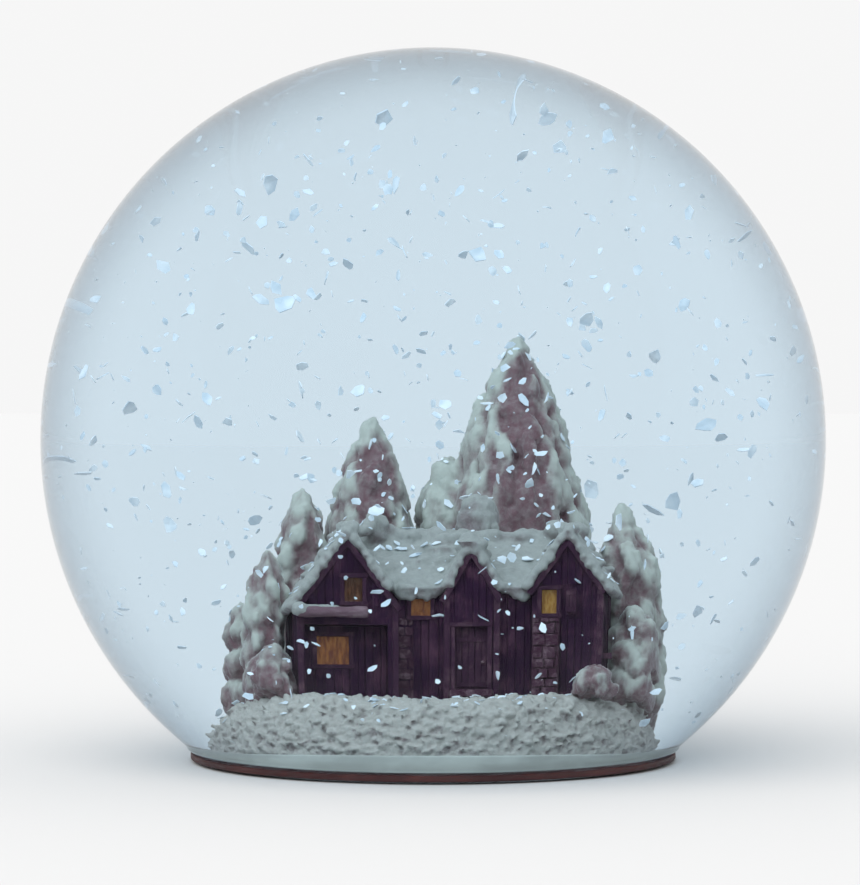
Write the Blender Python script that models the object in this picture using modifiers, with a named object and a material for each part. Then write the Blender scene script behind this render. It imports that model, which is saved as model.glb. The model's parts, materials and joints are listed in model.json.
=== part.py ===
"""Snow globe: a liquid-filled glass ball on a slim base ring, with a snowy cottage and fir trees inside.

Metres, +Z up. The origin is on the floor, on the globe's upright axis. The cottage's front faces -Y.
"""

import math

import bmesh
import bpy

MM = 0.001
GAP = 0.3 * MM            # clearance between pieces that touch
SEGMENTS = 48             # round every turned piece of the globe itself

# Driving dimensions
GLOBE_R = 50.0 * MM       # outside of the glass
GLASS_WALL = 2.2 * MM
RIM_DROP = 39.45 * MM     # ball centre down to the cut rim of the glass
FELT_T = 0.8 * MM
FELT_R = 28.2 * MM
RING_T = 0.8 * MM
RING_R = 31.0 * MM
RING_BORE_R = 28.6 * MM
RING_LIFT = 0.3 * MM      # the ring clears the table; the felt carries the globe
STOPPER_RISE = 4.0 * MM   # how far the stopper stands up inside the mouth
FILL_HOLE_R = 1.5 * MM
FILL_HOLE_Y = 24.2 * MM   # the fill hole is behind the mound of snow
ACCESS_HOLE_R = 2.9 * MM  # through the felt, to reach the fill plug
BUBBLE_R = 5.3 * MM       # the flat spot of air at the top of the liquid

RIM_Z = RING_LIFT + RING_T + GAP
CENTRE_Z = RIM_Z + RIM_DROP
INNER_R = GLOBE_R - GLASS_WALL
MOUTH_R = math.sqrt(INNER_R**2 - RIM_DROP**2)

# Heights inside the ball are measured from its centre.
STOPPER_TOP = -RIM_DROP + STOPPER_RISE
MOUND_R = 22.3 * MM
MOUND_FOOT = STOPPER_TOP + GAP
MOUND_TOP = -26.2 * MM
FRONT_SLOPE_Y = -12.9 * MM     # the ground falls away in front of the cottage from here
FRONT_SLOPE_DEG = 12.0
SCENE_FOOT = MOUND_TOP + GAP   # cottage and trees stand here
SCENE_CLEAR_R = 22.9 * MM      # the liquid turns clear of the scene within this radius

# Cottage: (middle, half width, front, back, eave height, apex height), apex in line with the middle
LEFT_WING = (-8.5 * MM, 4.9 * MM, -11.0 * MM, 4.3 * MM, -16.1 * MM, -9.6 * MM)
PORCH_GABLE = (3.8 * MM, 2.6 * MM, -9.6 * MM, -3.0 * MM, -15.0 * MM, -10.5 * MM)
RIGHT_WING = (13.3 * MM, 3.5 * MM, -10.2 * MM, -2.2 * MM, -14.4 * MM, -9.6 * MM)
HALL_X = (-8.5 * MM, 13.0 * MM)
HALL_Y = (-8.7 * MM, 4.3 * MM)
HALL_EAVE = -14.6 * MM
HALL_RIDGE = -10.1 * MM
ROOF_T = 1.1 * MM
EAVE_OVERHANG = 0.8 * MM
VERGE_OVERHANG = 0.9 * MM

COLOURS = {
    "clear_glass": ((0.86, 0.92, 0.95, 0.3), 0.03, 0.0),
    "clear_liquid": ((0.80, 0.88, 0.93, 0.15), 0.02, 0.0),
    "grey_rubber": ((0.40, 0.44, 0.42, 1.0), 0.6, 0.0),
    "red_brown_wood": ((0.09, 0.028, 0.024, 1.0), 0.4, 0.0),
    "dark_felt": ((0.06, 0.03, 0.035, 1.0), 0.95, 0.0),
    "ground_snow": ((0.48, 0.52, 0.50, 1.0), 0.8, 0.0),
    "roof_snow": ((0.44, 0.51, 0.51, 1.0), 0.75, 0.0),
    "dark_timber": ((0.035, 0.014, 0.030, 1.0), 0.6, 0.0),
    "amber_pane": ((0.42, 0.21, 0.06, 1.0), 0.25, 0.0),
    "weathered_log": ((0.30, 0.26, 0.27, 1.0), 0.7, 0.0),
    "mauve_stone": ((0.20, 0.14, 0.16, 1.0), 0.8, 0.0),
    "snowy_fir": ((0.30, 0.31, 0.28, 1.0), 0.85, 0.0),
}

for old in list(bpy.data.objects):
    bpy.data.objects.remove(old)

parts = bpy.data.collections.new("snow_globe")
cutters = bpy.data.collections.new("cutters")
bpy.context.scene.collection.children.link(parts)
bpy.context.scene.collection.children.link(cutters)


def make_materials():
    """One Principled material for each finish."""
    made = {}
    for name, (colour, roughness, metallic) in COLOURS.items():
        material = bpy.data.materials.new(name)
        material.use_nodes = True
        shader = material.node_tree.nodes["Principled BSDF"]
        shader.inputs["Base Color"].default_value = colour[:3] + (1.0,)
        shader.inputs["Alpha"].default_value = colour[3]
        shader.inputs["Roughness"].default_value = roughness
        shader.inputs["Metallic"].default_value = metallic
        made[name] = material
    return made


materials = make_materials()


def empty(name, location):
    """A frame that pieces hang on, placed on a joint's axis where they move."""
    frame = bpy.data.objects.new(name, None)
    frame.location = location
    parts.objects.link(frame)
    return frame


ball_centre = empty("ball_centre", (0, 0, CENTRE_Z))
swirl_axis = empty("swirl_axis", (0, 0, CENTRE_Z))
rim_frame = empty("rim_frame", (0, 0, RIM_Z))
plug_axis = empty("plug_axis", (0, FILL_HOLE_Y, RIM_Z))


def add_piece(name, mesh, finish, parent, location=(0, 0, 0)):
    """A named part of the globe with its own finish."""
    piece = bpy.data.objects.new(name, mesh)
    mesh.materials.clear()
    mesh.materials.append(materials[finish])
    piece.parent = parent
    piece.location = location
    parts.objects.link(piece)
    return piece


def add_cutter(name, mesh, parent, location=(0, 0, 0)):
    """A guide that only cuts or joins other pieces."""
    guide = bpy.data.objects.new(name, mesh)
    guide.parent = parent
    guide.location = location
    guide.hide_render = True
    guide.display_type = "WIRE"
    cutters.objects.link(guide)
    return guide


def boolean(piece, guide, operation):
    """A Boolean on the piece, with the exact solver."""
    cut = piece.modifiers.new(f"{operation.lower()} {guide.name}", "BOOLEAN")
    cut.operation = operation
    cut.solver = "EXACT"
    cut.object = guide


def arc(radius, start_deg, end_deg, steps, centre_z=0.0):
    """Points (r, z) on a circle round the axis, angles measured up from the horizontal."""
    points = []
    for i in range(steps + 1):
        angle = math.radians(start_deg + (end_deg - start_deg) * i / steps)
        points.append((radius * math.cos(angle), centre_z + radius * math.sin(angle)))
    return points


def turned(name, profile, finish, parent, location=(0, 0, 0), segments=SEGMENTS):
    """A solid of revolution; the profile runs from the axis, down its outer side, back to the axis."""
    mesh = bpy.data.meshes.new(name)
    edges = [(i, i + 1) for i in range(len(profile) - 1)]
    mesh.from_pydata([(max(r, 0.0), 0.0, z) for r, z in profile], edges, [])
    piece = add_piece(name, mesh, finish, parent, location)
    screw = piece.modifiers.new("turn", "SCREW")
    screw.steps = segments
    screw.render_steps = segments
    screw.use_merge_vertices = True
    screw.merge_threshold = 0.00002
    screw.use_smooth_shade = True
    return piece


def box_mesh(name, low, high):
    """A box between two corners."""
    mesh = bpy.data.meshes.new(name)
    shape = bmesh.new()
    bmesh.ops.create_cube(shape, size=1.0)
    for vert in shape.verts:
        for axis in range(3):
            middle = (low[axis] + high[axis]) / 2
            vert.co[axis] = middle + vert.co[axis] * (high[axis] - low[axis])
    shape.to_mesh(mesh)
    shape.free()
    return mesh


def rod_mesh(name, radius, length, segments=24):
    """An upright cylinder standing on its origin."""
    mesh = bpy.data.meshes.new(name)
    shape = bmesh.new()
    bmesh.ops.create_cone(shape, cap_ends=True, segments=segments,
                          radius1=radius, radius2=radius, depth=length)
    bmesh.ops.translate(shape, verts=shape.verts, vec=(0, 0, length / 2))
    shape.to_mesh(mesh)
    shape.free()
    return mesh


def outline_mesh(name, outline, depth, rotation):
    """A flat outline given thickness, turned, as a closed mesh that Booleans can use."""
    curve = bpy.data.curves.new(name, "CURVE")
    curve.dimensions = "2D"
    curve.fill_mode = "BOTH"
    curve.extrude = depth / 2
    spline = curve.splines.new("POLY")
    spline.points.add(len(outline) - 1)
    for point, (across, up) in zip(spline.points, outline):
        point.co = (across, up, 0, 1)
    spline.use_cyclic_u = True
    guide = bpy.data.objects.new(name, curve)
    guide.rotation_euler = rotation
    bpy.context.scene.collection.objects.link(guide)
    bpy.context.view_layer.update()
    evaluated = guide.evaluated_get(bpy.context.evaluated_depsgraph_get())
    mesh = bpy.data.meshes.new_from_object(evaluated)
    mesh.transform(guide.matrix_world)
    bpy.data.objects.remove(guide)
    shape = bmesh.new()
    shape.from_mesh(mesh)
    bmesh.ops.remove_doubles(shape, verts=shape.verts, dist=0.00001)
    bmesh.ops.recalc_face_normals(shape, faces=shape.faces)
    shape.to_mesh(mesh)
    shape.free()
    return mesh


FACING_FRONT = (math.radians(90), 0, 0)                 # outline across X, up Z
FACING_SIDE = (math.radians(90), 0, math.radians(90))   # outline across Y, up Z


def gable_outline(half, eave, apex, grow=0.0):
    """A wall with a pointed top: foot, eaves and apex, grown outward by a clearance."""
    pitch = math.atan2(apex - eave, half)
    top = apex + grow / math.cos(pitch)
    side = half + grow
    foot = SCENE_FOOT - 3 * grow
    eaves = top - side * math.tan(pitch)
    return [(-side, foot), (side, foot), (side, eaves), (0, top), (-side, eaves)]


def roof_outline(half, eave, apex, grow):
    """A bent band over the gable: two slopes of even thickness that pass the eaves."""
    pitch = math.atan2(apex - eave, half)
    side = half + EAVE_OVERHANG
    low = apex + grow / math.cos(pitch)
    high = low + ROOF_T / math.cos(pitch)
    drop = side * math.tan(pitch)
    return [(-side, low - drop), (0, low), (side, low - drop),
            (side, high - drop), (0, high), (-side, high - drop)]


def ellipsoid_mesh(name, radii, subdivisions=2):
    """A rounded lump."""
    mesh = bpy.data.meshes.new(name)
    shape = bmesh.new()
    bmesh.ops.create_icosphere(shape, subdivisions=subdivisions, radius=1.0)
    bmesh.ops.scale(shape, verts=shape.verts, vec=radii)
    shape.to_mesh(mesh)
    shape.free()
    return mesh


# The vessel and what closes it

def build_glass():
    """A blown ball with its bottom cut off, open at the mouth."""
    rim_angle = math.degrees(math.asin(-RIM_DROP / GLOBE_R))
    mouth_angle = math.degrees(math.asin(-RIM_DROP / INNER_R))
    outside = arc(GLOBE_R, 90, 0, 11) + arc(GLOBE_R, 0, rim_angle, 6)[1:]
    inside = arc(INNER_R, mouth_angle, 90, 16)
    turned("glass_globe", outside + inside, "clear_glass", ball_centre)


def build_liquid():
    """The fill, hollow where the scene stands, with a flat spot of air at the top."""
    liquid_r = INNER_R - GAP
    foot = STOPPER_TOP + GAP
    top_angle = math.degrees(math.acos(BUBBLE_R / liquid_r))
    foot_angle = math.degrees(math.asin(foot / liquid_r))
    outside = arc(liquid_r, top_angle, foot_angle, 14)
    hollow = [(SCENE_CLEAR_R, foot), (SCENE_CLEAR_R, -7.5 * MM), (21.9 * MM, -4.0 * MM),
              (20.0 * MM, 1.0 * MM), (17.6 * MM, 6.5 * MM), (15.2 * MM, 10.4 * MM), (0, 12.0 * MM)]
    turned("liquid_fill", [(0, outside[0][1])] + outside + hollow, "clear_liquid", swirl_axis)


def build_closure():
    """Rubber stopper, its fill plug, the ring under the rim and the felt pad inside the ring."""
    stopper_foot = FELT_T + GAP - RIM_Z
    plug_r = MOUTH_R - 0.4 * MM
    stopper = turned("rubber_stopper", [
        (0, STOPPER_RISE), (plug_r - 0.5 * MM, STOPPER_RISE), (plug_r, STOPPER_RISE - 0.5 * MM),
        (plug_r, stopper_foot), (0, stopper_foot),
    ], "grey_rubber", rim_frame)
    fill_hole = add_cutter("fill_hole", rod_mesh("fill_hole", FILL_HOLE_R, 12 * MM), rim_frame,
                           (0, FILL_HOLE_Y, -4 * MM))
    boolean(stopper, fill_hole, "DIFFERENCE")

    ring = turned("base_ring", [
        (0, RING_T), (RING_R - 0.2 * MM, RING_T), (RING_R, RING_T - 0.2 * MM),
        (RING_R, 0.35 * MM), (RING_R - 0.35 * MM, 0), (0, 0),
    ], "red_brown_wood", rim_frame, (0, 0, RING_LIFT - RIM_Z))
    ring_bore = add_cutter("ring_bore", rod_mesh("ring_bore", RING_BORE_R, 4 * MM, SEGMENTS), rim_frame,
                           (0, 0, -3 * MM))
    boolean(ring, ring_bore, "DIFFERENCE")
    felt = turned("felt_pad", [
        (0, FELT_T), (FELT_R, FELT_T), (FELT_R, 0), (0, 0),
    ], "dark_felt", rim_frame, (0, 0, -RIM_Z))
    access_hole = add_cutter("access_hole", rod_mesh("access_hole", ACCESS_HOLE_R, 12 * MM),
                             rim_frame, (0, FILL_HOLE_Y, stopper_foot - 11.9 * MM))
    boolean(felt, access_hole, "DIFFERENCE")

    head_top = stopper_foot - GAP
    shaft_r = FILL_HOLE_R - GAP
    turned("fill_plug", [
        (0, STOPPER_RISE - 0.3 * MM), (shaft_r - 0.3 * MM, STOPPER_RISE - 0.3 * MM),
        (shaft_r, STOPPER_RISE - 1.0 * MM), (shaft_r, head_top), (2.3 * MM, head_top),
        (2.3 * MM, head_top - 0.5 * MM), (0, head_top - 0.5 * MM),
    ], "grey_rubber", plug_axis, segments=24)


# The scene inside

def build_mound():
    """The low hill of snow that carries the cottage and trees."""
    mound = turned("snow_mound", [
        (0, MOUND_TOP), (18.6 * MM, MOUND_TOP), (20.3 * MM, -27.0 * MM), (21.4 * MM, -28.6 * MM),
        (22.0 * MM, -31.0 * MM), (MOUND_R, MOUND_FOOT), (0, MOUND_FOOT),
    ], "ground_snow", ball_centre, segments=40)
    slope = add_cutter("front_slope", box_mesh("front_slope", (-30 * MM, -20 * MM, 0), (30 * MM, 0, 5 * MM)),
                       ball_centre, (0, FRONT_SLOPE_Y, MOUND_TOP))
    slope.rotation_euler = (math.radians(FRONT_SLOPE_DEG), 0, 0)
    boolean(mound, slope, "DIFFERENCE")


def gable_block(name, wing, grow=0.0):
    """One front-facing wing or gable of the cottage, as a closed mesh and its place."""
    middle, half, front, back, eave, apex = wing
    mesh = outline_mesh(name, gable_outline(half, eave, apex, grow),
                        back - front + 2 * grow, FACING_FRONT)
    return mesh, (middle, (front + back) / 2, 0)


def hall_block(name, grow=0.0):
    """The long middle of the cottage, whose ridge runs across behind the gables."""
    half = (HALL_Y[1] - HALL_Y[0]) / 2
    mesh = outline_mesh(name, gable_outline(half, HALL_EAVE, HALL_RIDGE, grow),
                        HALL_X[1] - HALL_X[0] + 2 * grow, FACING_SIDE)
    return mesh, (sum(HALL_X) / 2, sum(HALL_Y) / 2, 0)


WINGS = {"left_wing": LEFT_WING, "porch_gable": PORCH_GABLE, "right_wing": RIGHT_WING}

# The open porch under the left wing's log
PORCH_DEPTH = 2.4 * MM
PORCH_BACK = LEFT_WING[2] + PORCH_DEPTH
PORCH_CHEEKS = (0.6 * MM, 0.9 * MM)    # wall left standing on each side
PORCH_HEAD = -18.2 * MM
LOG_R = 0.6 * MM
LOG_LENGTH = 7.3 * MM
LOG_START = (-13.7 * MM, LEFT_WING[2] - 0.95 * MM, -17.0 * MM)

# Windows and door: (middle across, middle up, width, height, wall face)
PANES = {
    "porch_window": (-9.9 * MM, -20.7 * MM, 3.2 * MM, 2.9 * MM, PORCH_BACK),
    "loft_window": (-7.9 * MM, -14.7 * MM, 1.8 * MM, 2.4 * MM, LEFT_WING[2]),
    "hall_window": (-1.2 * MM, -16.3 * MM, 1.9 * MM, 1.7 * MM, HALL_Y[0]),
    "right_window": (11.5 * MM, -15.9 * MM, 1.5 * MM, 2.4 * MM, RIGHT_WING[2]),
}
DOOR = (3.8 * MM, -21.9 * MM, 3.2 * MM, 7.2 * MM, PORCH_GABLE[2])
INSERT_T = 0.6 * MM
RECESS_T = 1.2 * MM
STEP_DEPTH = 3.0 * MM
STEP_RISE = 0.8 * MM

# Facing and shutter on the right wing: (left, right, bottom, top, thickness)
STONE_FACING = (9.9 * MM, 12.6 * MM, SCENE_FOOT, -17.6 * MM, 0.8 * MM)
SHUTTER = (13.2 * MM, 14.3 * MM, -17.2 * MM, -14.6 * MM, 0.4 * MM)

CHIMNEY = (4.2 * MM, -0.9 * MM, 1.3 * MM)   # across, depth, half width
CHIMNEY_FOOT = -12.4 * MM
CHIMNEY_TOP = -7.4 * MM
CHIMNEY_CAP_R = 2.2 * MM
CHIMNEY_CAP_H = 2.4 * MM
PAST_FACE = 1.0 * MM      # how far a cutter runs out past the face it opens


def insert_box(name, opening, margin, depth, setback):
    """A box in the plane of a wall opening, larger than it by a margin all round."""
    across, up, width, height, face = opening
    low = (across - width / 2 - margin, face + setback, up - height / 2 - margin)
    high = (across + width / 2 + margin, face + setback + depth, up + height / 2 + margin)
    return box_mesh(name, low, high)


def chimney_box(name, grow, top):
    """The stack, or the slot that it passes through."""
    across, depth, half = CHIMNEY
    low = (across - half - grow, depth - half - grow, CHIMNEY_FOOT - grow)
    return box_mesh(name, low, (across + half + grow, depth + half + grow, top))


def build_walls():
    """Hall, two wings and the porch gable in one casting, with recesses for the inserts."""
    mesh, place = hall_block("cottage_walls")
    walls = add_piece("cottage_walls", mesh, "dark_timber", ball_centre, place)
    for name, wing in WINGS.items():
        mesh, place = gable_block(f"{name}_block", wing)
        boolean(walls, add_cutter(f"{name}_block", mesh, ball_centre, place), "UNION")
    middle, half, front = LEFT_WING[:3]
    low = (middle - half + PORCH_CHEEKS[0], front - PAST_FACE, SCENE_FOOT - PAST_FACE)
    porch = box_mesh("porch_recess", low, (middle + half - PORCH_CHEEKS[1], PORCH_BACK, PORCH_HEAD))
    boolean(walls, add_cutter("porch_recess", porch, ball_centre), "DIFFERENCE")
    for name, opening in {**PANES, "door": DOOR}.items():
        recess = insert_box(f"{name}_recess", opening, GAP, RECESS_T + PAST_FACE, -PAST_FACE)
        boolean(walls, add_cutter(f"{name}_recess", recess, ball_centre), "DIFFERENCE")
    slot = add_cutter("chimney_slot", chimney_box("chimney_slot", GAP, 0), ball_centre)
    boolean(walls, slot, "DIFFERENCE")
    return slot


def build_roof(chimney_slot):
    """The thick blanket of snow over the three gables and the ridge behind them."""
    half = (HALL_Y[1] - HALL_Y[0]) / 2
    mesh = outline_mesh("roof_snow", roof_outline(half, HALL_EAVE, HALL_RIDGE, GAP - 0.1 * MM),
                        HALL_X[1] - HALL_X[0] + 2 * VERGE_OVERHANG, FACING_SIDE)
    roof = add_piece("roof_snow", mesh, "roof_snow", ball_centre,
                     (sum(HALL_X) / 2, sum(HALL_Y) / 2, 0))
    for name, (middle, wide, front, back, eave, apex) in WINGS.items():
        front -= VERGE_OVERHANG
        mesh = outline_mesh(f"{name}_roof", roof_outline(wide, eave, apex, GAP - 0.1 * MM),
                            back - front, FACING_FRONT)
        guide = add_cutter(f"{name}_roof", mesh, ball_centre, (middle, (front + back) / 2, 0))
        boolean(roof, guide, "UNION")
    mesh, place = hall_block("hall_clearance", GAP)
    boolean(roof, add_cutter("hall_clearance", mesh, ball_centre, place), "DIFFERENCE")
    for name, wing in WINGS.items():
        mesh, place = gable_block(f"{name}_clearance", wing, GAP)
        boolean(roof, add_cutter(f"{name}_clearance", mesh, ball_centre, place), "DIFFERENCE")
    boolean(roof, chimney_slot, "DIFFERENCE")


def build_cottage_details():
    """Panes, door, step, chimney, porch log, stone facing and shutter."""
    for name, opening in PANES.items():
        mesh = insert_box(name, opening, 0, INSERT_T, RECESS_T - INSERT_T - GAP)
        add_piece(name, mesh, "amber_pane", ball_centre)
    door = insert_box("front_door", DOOR, 0, INSERT_T, RECESS_T - INSERT_T - GAP)
    add_piece("front_door", door, "dark_timber", ball_centre)
    across, _, width, _, face = DOOR
    step = box_mesh("doorstep", (across - width * 0.7, face - STEP_DEPTH, SCENE_FOOT),
                    (across + width * 0.7, face - GAP, SCENE_FOOT + STEP_RISE))
    add_piece("doorstep", step, "weathered_log", ball_centre)

    add_piece("chimney_stack", chimney_box("chimney_stack", 0, CHIMNEY_TOP), "mauve_stone", ball_centre)
    dome = [(CHIMNEY_CAP_R * math.cos(math.radians(up)), CHIMNEY_CAP_H * math.sin(math.radians(up)))
            for up in (90, 65, 40, 18, 0)]
    skirt = [(CHIMNEY_CAP_R - GAP, -0.2 * MM), (0, -0.2 * MM)]
    turned("chimney_snow", dome + skirt, "roof_snow", ball_centre,
           (CHIMNEY[0], CHIMNEY[1], CHIMNEY_TOP + GAP + 0.2 * MM), 16)

    log = add_piece("porch_log", rod_mesh("porch_log", LOG_R, LOG_LENGTH, 12), "weathered_log",
                    ball_centre, LOG_START)
    log.rotation_euler = (0, math.radians(90), 0)
    wall = RIGHT_WING[2] - GAP
    for name, (left, right, bottom, top, thick), finish in (
            ("stone_facing", STONE_FACING, "mauve_stone"), ("window_shutter", SHUTTER, "dark_timber")):
        mesh = box_mesh(name, (left, wall - thick, bottom), (right, wall, top))
        add_piece(name, mesh, finish, ball_centre)


def tree_profile(height, spread, shoulder, tiers):
    """A fir's outline: tiers that droop, full width from a shoulder below the tip down to the foot."""
    points = [(0, height)]
    for i in range(tiers):
        drop = height * (i + 1) / tiers
        radius = spread * min(1.0, drop / shoulder) ** 0.6
        z = height - drop
        points.append((radius, z + height * 0.1 / tiers))
        if i < tiers - 1:
            points.append((radius * 0.8, z - height * 0.08 / tiers))
    return points + [(spread * 0.85, 0), (0, 0)]


# Firs: middle across and depth, spread, height of the tip, shoulder below the tip, tiers
FIRS = {
    "fir_back_left": (-5.9 * MM, 10.2 * MM, 4.2 * MM, 2.2 * MM, 8.0 * MM, 6),
    "fir_left": (-12.4 * MM, 8.6 * MM, 2.5 * MM, -4.4 * MM, 4.0 * MM, 5),
    "fir_far_left": (-16.7 * MM, -3.2 * MM, 2.4 * MM, -8.6 * MM, 7.0 * MM, 4),
    "fir_right": (18.0 * MM, 2.4 * MM, 3.9 * MM, -5.9 * MM, 7.0 * MM, 5),
}
FIR_TALL = (6.9 * MM, 12.4 * MM, 6.9 * MM, 9.2 * MM, 15.0 * MM, 7)
FIR_TALL_SIDE = (-5.0 * MM, 0.4 * MM, 3.2 * MM, 0.3 * MM, 4.0 * MM, 3)   # lower shoot, from its trunk
# Shrubs: middle across, depth, radius, height
SHRUBS = {
    "shrub_left_front": (-16.1 * MM, -9.4 * MM, 2.2 * MM, 5.6 * MM),
    "shrub_left_back": (-16.9 * MM, 3.0 * MM, 2.4 * MM, 10.5 * MM),
    "shrub_right_front": (16.6 * MM, -12.3 * MM, 1.9 * MM, 5.2 * MM),
    "shrub_right_side": (19.6 * MM, -4.0 * MM, 2.4 * MM, 10.0 * MM),
    "shrub_right_back": (16.6 * MM, 9.6 * MM, 2.2 * MM, 9.5 * MM),
}


def fir(name, place, spread, tip, shoulder, tiers, foot=SCENE_FOOT):
    """One turned fir, standing on its foot."""
    across, depth = place
    profile = tree_profile(tip - foot, spread, shoulder, tiers)
    return turned(name, profile, "snowy_fir", ball_centre, (across, depth, foot), 14)


def build_trees():
    """Firs round the cottage, the tall one behind it, and low snowy shrubs at the sides."""
    for name, (across, depth, spread, tip, shoulder, tiers) in FIRS.items():
        fir(name, (across, depth), spread, tip, shoulder, tiers)
    across, depth, spread, tip, shoulder, tiers = FIR_TALL
    tall = fir("fir_tall", (across, depth), spread, tip, shoulder, tiers)
    side_x, side_y, spread, tip, shoulder, tiers = FIR_TALL_SIDE
    shoot = fir("fir_tall_shoot", (across + side_x, depth + side_y), spread, tip, shoulder, tiers,
                SCENE_FOOT + 10 * MM)
    parts.objects.unlink(shoot)
    cutters.objects.link(shoot)
    shoot.hide_render = True
    shoot.display_type = "WIRE"
    boolean(tall, shoot, "UNION")
    for name, (across, depth, radius, height) in SHRUBS.items():
        mesh = ellipsoid_mesh(name, (radius, radius, height / 2))
        add_piece(name, mesh, "snowy_fir", ball_centre, (across, depth, SCENE_FOOT + height / 2))


build_glass()
build_liquid()
build_closure()
build_mound()
slot_for_chimney = build_walls()
build_roof(slot_for_chimney)
build_cottage_details()
build_trees()
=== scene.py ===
import json
import math
import random

import bmesh
import bpy
from mathutils import Matrix, Vector, noise
from mathutils.bvhtree import BVHTree

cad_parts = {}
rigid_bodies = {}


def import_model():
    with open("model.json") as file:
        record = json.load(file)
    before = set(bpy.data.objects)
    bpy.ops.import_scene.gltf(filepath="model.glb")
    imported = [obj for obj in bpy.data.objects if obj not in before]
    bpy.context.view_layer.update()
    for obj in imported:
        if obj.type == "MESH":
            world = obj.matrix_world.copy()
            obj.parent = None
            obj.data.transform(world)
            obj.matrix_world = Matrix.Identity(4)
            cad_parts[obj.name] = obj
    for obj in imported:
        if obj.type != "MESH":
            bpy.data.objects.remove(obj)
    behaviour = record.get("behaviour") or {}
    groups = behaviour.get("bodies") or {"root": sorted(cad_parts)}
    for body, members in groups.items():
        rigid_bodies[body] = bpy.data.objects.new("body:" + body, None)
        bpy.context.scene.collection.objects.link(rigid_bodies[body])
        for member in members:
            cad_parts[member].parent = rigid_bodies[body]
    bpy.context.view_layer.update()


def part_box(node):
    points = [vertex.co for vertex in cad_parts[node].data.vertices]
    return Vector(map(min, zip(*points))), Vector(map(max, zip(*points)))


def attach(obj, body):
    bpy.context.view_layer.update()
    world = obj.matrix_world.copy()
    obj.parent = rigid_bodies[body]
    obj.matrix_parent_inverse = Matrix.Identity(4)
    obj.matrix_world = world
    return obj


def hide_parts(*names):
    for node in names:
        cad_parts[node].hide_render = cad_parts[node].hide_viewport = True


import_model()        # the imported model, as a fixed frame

mm = 0.001
globeBody, liquidBody, plugBody = "globe", "liquid", "plug"
up, right, front = Vector((0, 0, 1)), Vector((1, 0, 0)), Vector((0, -1, 0))
left, back = -right, -front


def corners(node):
    low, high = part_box(node)
    return Vector(low), Vector(high)


glassLow, glassHigh = corners("glass_globe")
ballRadius = (glassHigh.x - glassLow.x) / 2
ballCentre = Vector((0, 0, glassHigh.z - ballRadius))
rimZ = glassLow.z
stopperTop = corners("rubber_stopper")[1].z
sceneFoot = corners("cottage_walls")[0].z

# camera, level with the middle of the ball
cameraSettings = {"distance": 0.45, "height": 0.0047, "lens": 143.0, "aim": (-0.0004, 0, -0.0003)}


def makeCamera(settings):
    lens = bpy.data.cameras.new("camera")
    lens.lens = settings["lens"]
    lens.clip_start = 0.01
    camera = bpy.data.objects.new("camera", lens)
    camera.location = ballCentre + Vector((0, -settings["distance"], settings["height"]))
    aim = ballCentre + Vector(settings["aim"])
    camera.rotation_euler = (aim - camera.location).to_track_quat("-Z", "Y").to_euler()
    bpy.context.scene.collection.objects.link(camera)
    bpy.context.scene.camera = camera


makeCamera(cameraSettings)


class Value:                                # a socket that can stand in a Python sum
    def __init__(self, finish, socket):
        self.finish, self.socket = finish, socket

    def sum(self, operation, first, second):
        return self.finish.add("ShaderNodeMath", {"operation": operation}, {0: first, 1: second})

    def __add__(self, other):
        return self.sum("ADD", self, other)

    def __mul__(self, other):
        return self.sum("MULTIPLY", self, other)

    def __sub__(self, other):
        return self.sum("SUBTRACT", self, other)

    def __rsub__(self, other):
        return self.sum("SUBTRACT", other, self)

    __radd__ = __add__
    __rmul__ = __mul__

    def most(self, other):
        return self.sum("MAXIMUM", self, other)


class Finish:                               # a material under construction
    def __init__(self, name):
        self.material = bpy.data.materials.new(name)
        self.material.use_nodes = True
        self.tree = self.material.node_tree
        self.tree.nodes.clear()

    def add(self, kind, settings=None, inputs=None, output=0):
        node = self.tree.nodes.new(kind)
        for key, value in (settings or {}).items():
            setattr(node, key, value)
        for key, value in (inputs or {}).items():
            if isinstance(value, Value):
                self.tree.links.new(value.socket, node.inputs[key])
            else:
                node.inputs[key].default_value = value
        return Value(self, node.outputs[output])

    def place(self):
        return self.add("ShaderNodeTexCoord", output="Object")

    def noise(self, size, detail=3.0, rough=0.55, stretch=None):
        place = self.place()
        if stretch:
            place = self.add("ShaderNodeMapping", {}, {"Vector": place, "Scale": stretch})
        return self.add("ShaderNodeTexNoise", {}, {
            "Vector": place, "Scale": 1 / size, "Detail": detail, "Roughness": rough}, "Fac")

    def cells(self, size):
        return self.add("ShaderNodeTexVoronoi", {}, {
            "Vector": self.place(), "Scale": 1 / size}, "Distance")

    def span(self, value, low, high, start=0.0, end=1.0):
        return self.add("ShaderNodeMapRange", {"interpolation_type": "SMOOTHSTEP"}, {
            "Value": value, "From Min": low, "From Max": high, "To Min": start, "To Max": end})

    def mix(self, share, first, second):
        return self.add("ShaderNodeMix", {"data_type": "RGBA"}, {0: share, 6: first, 7: second}, 2)

    def painted(self, name):                # a value kept on the mesh's own points
        return self.add("ShaderNodeAttribute", {"attribute_name": name}, {}, "Fac")

    def bump(self, height, depth):
        inputs = {"Height": height, "Distance": depth, "Strength": 1.0}
        return self.add("ShaderNodeBump", {}, inputs, "Normal")

    def principled(self, inputs):
        return self.add("ShaderNodeBsdfPrincipled", {}, inputs, "BSDF")

    def end(self, shader):
        out = self.tree.nodes.new("ShaderNodeOutputMaterial")
        self.tree.links.new(shader.socket, out.inputs["Surface"])
        return self.material


def colour(red, green, blue):
    return (red, green, blue, 1.0)


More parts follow.
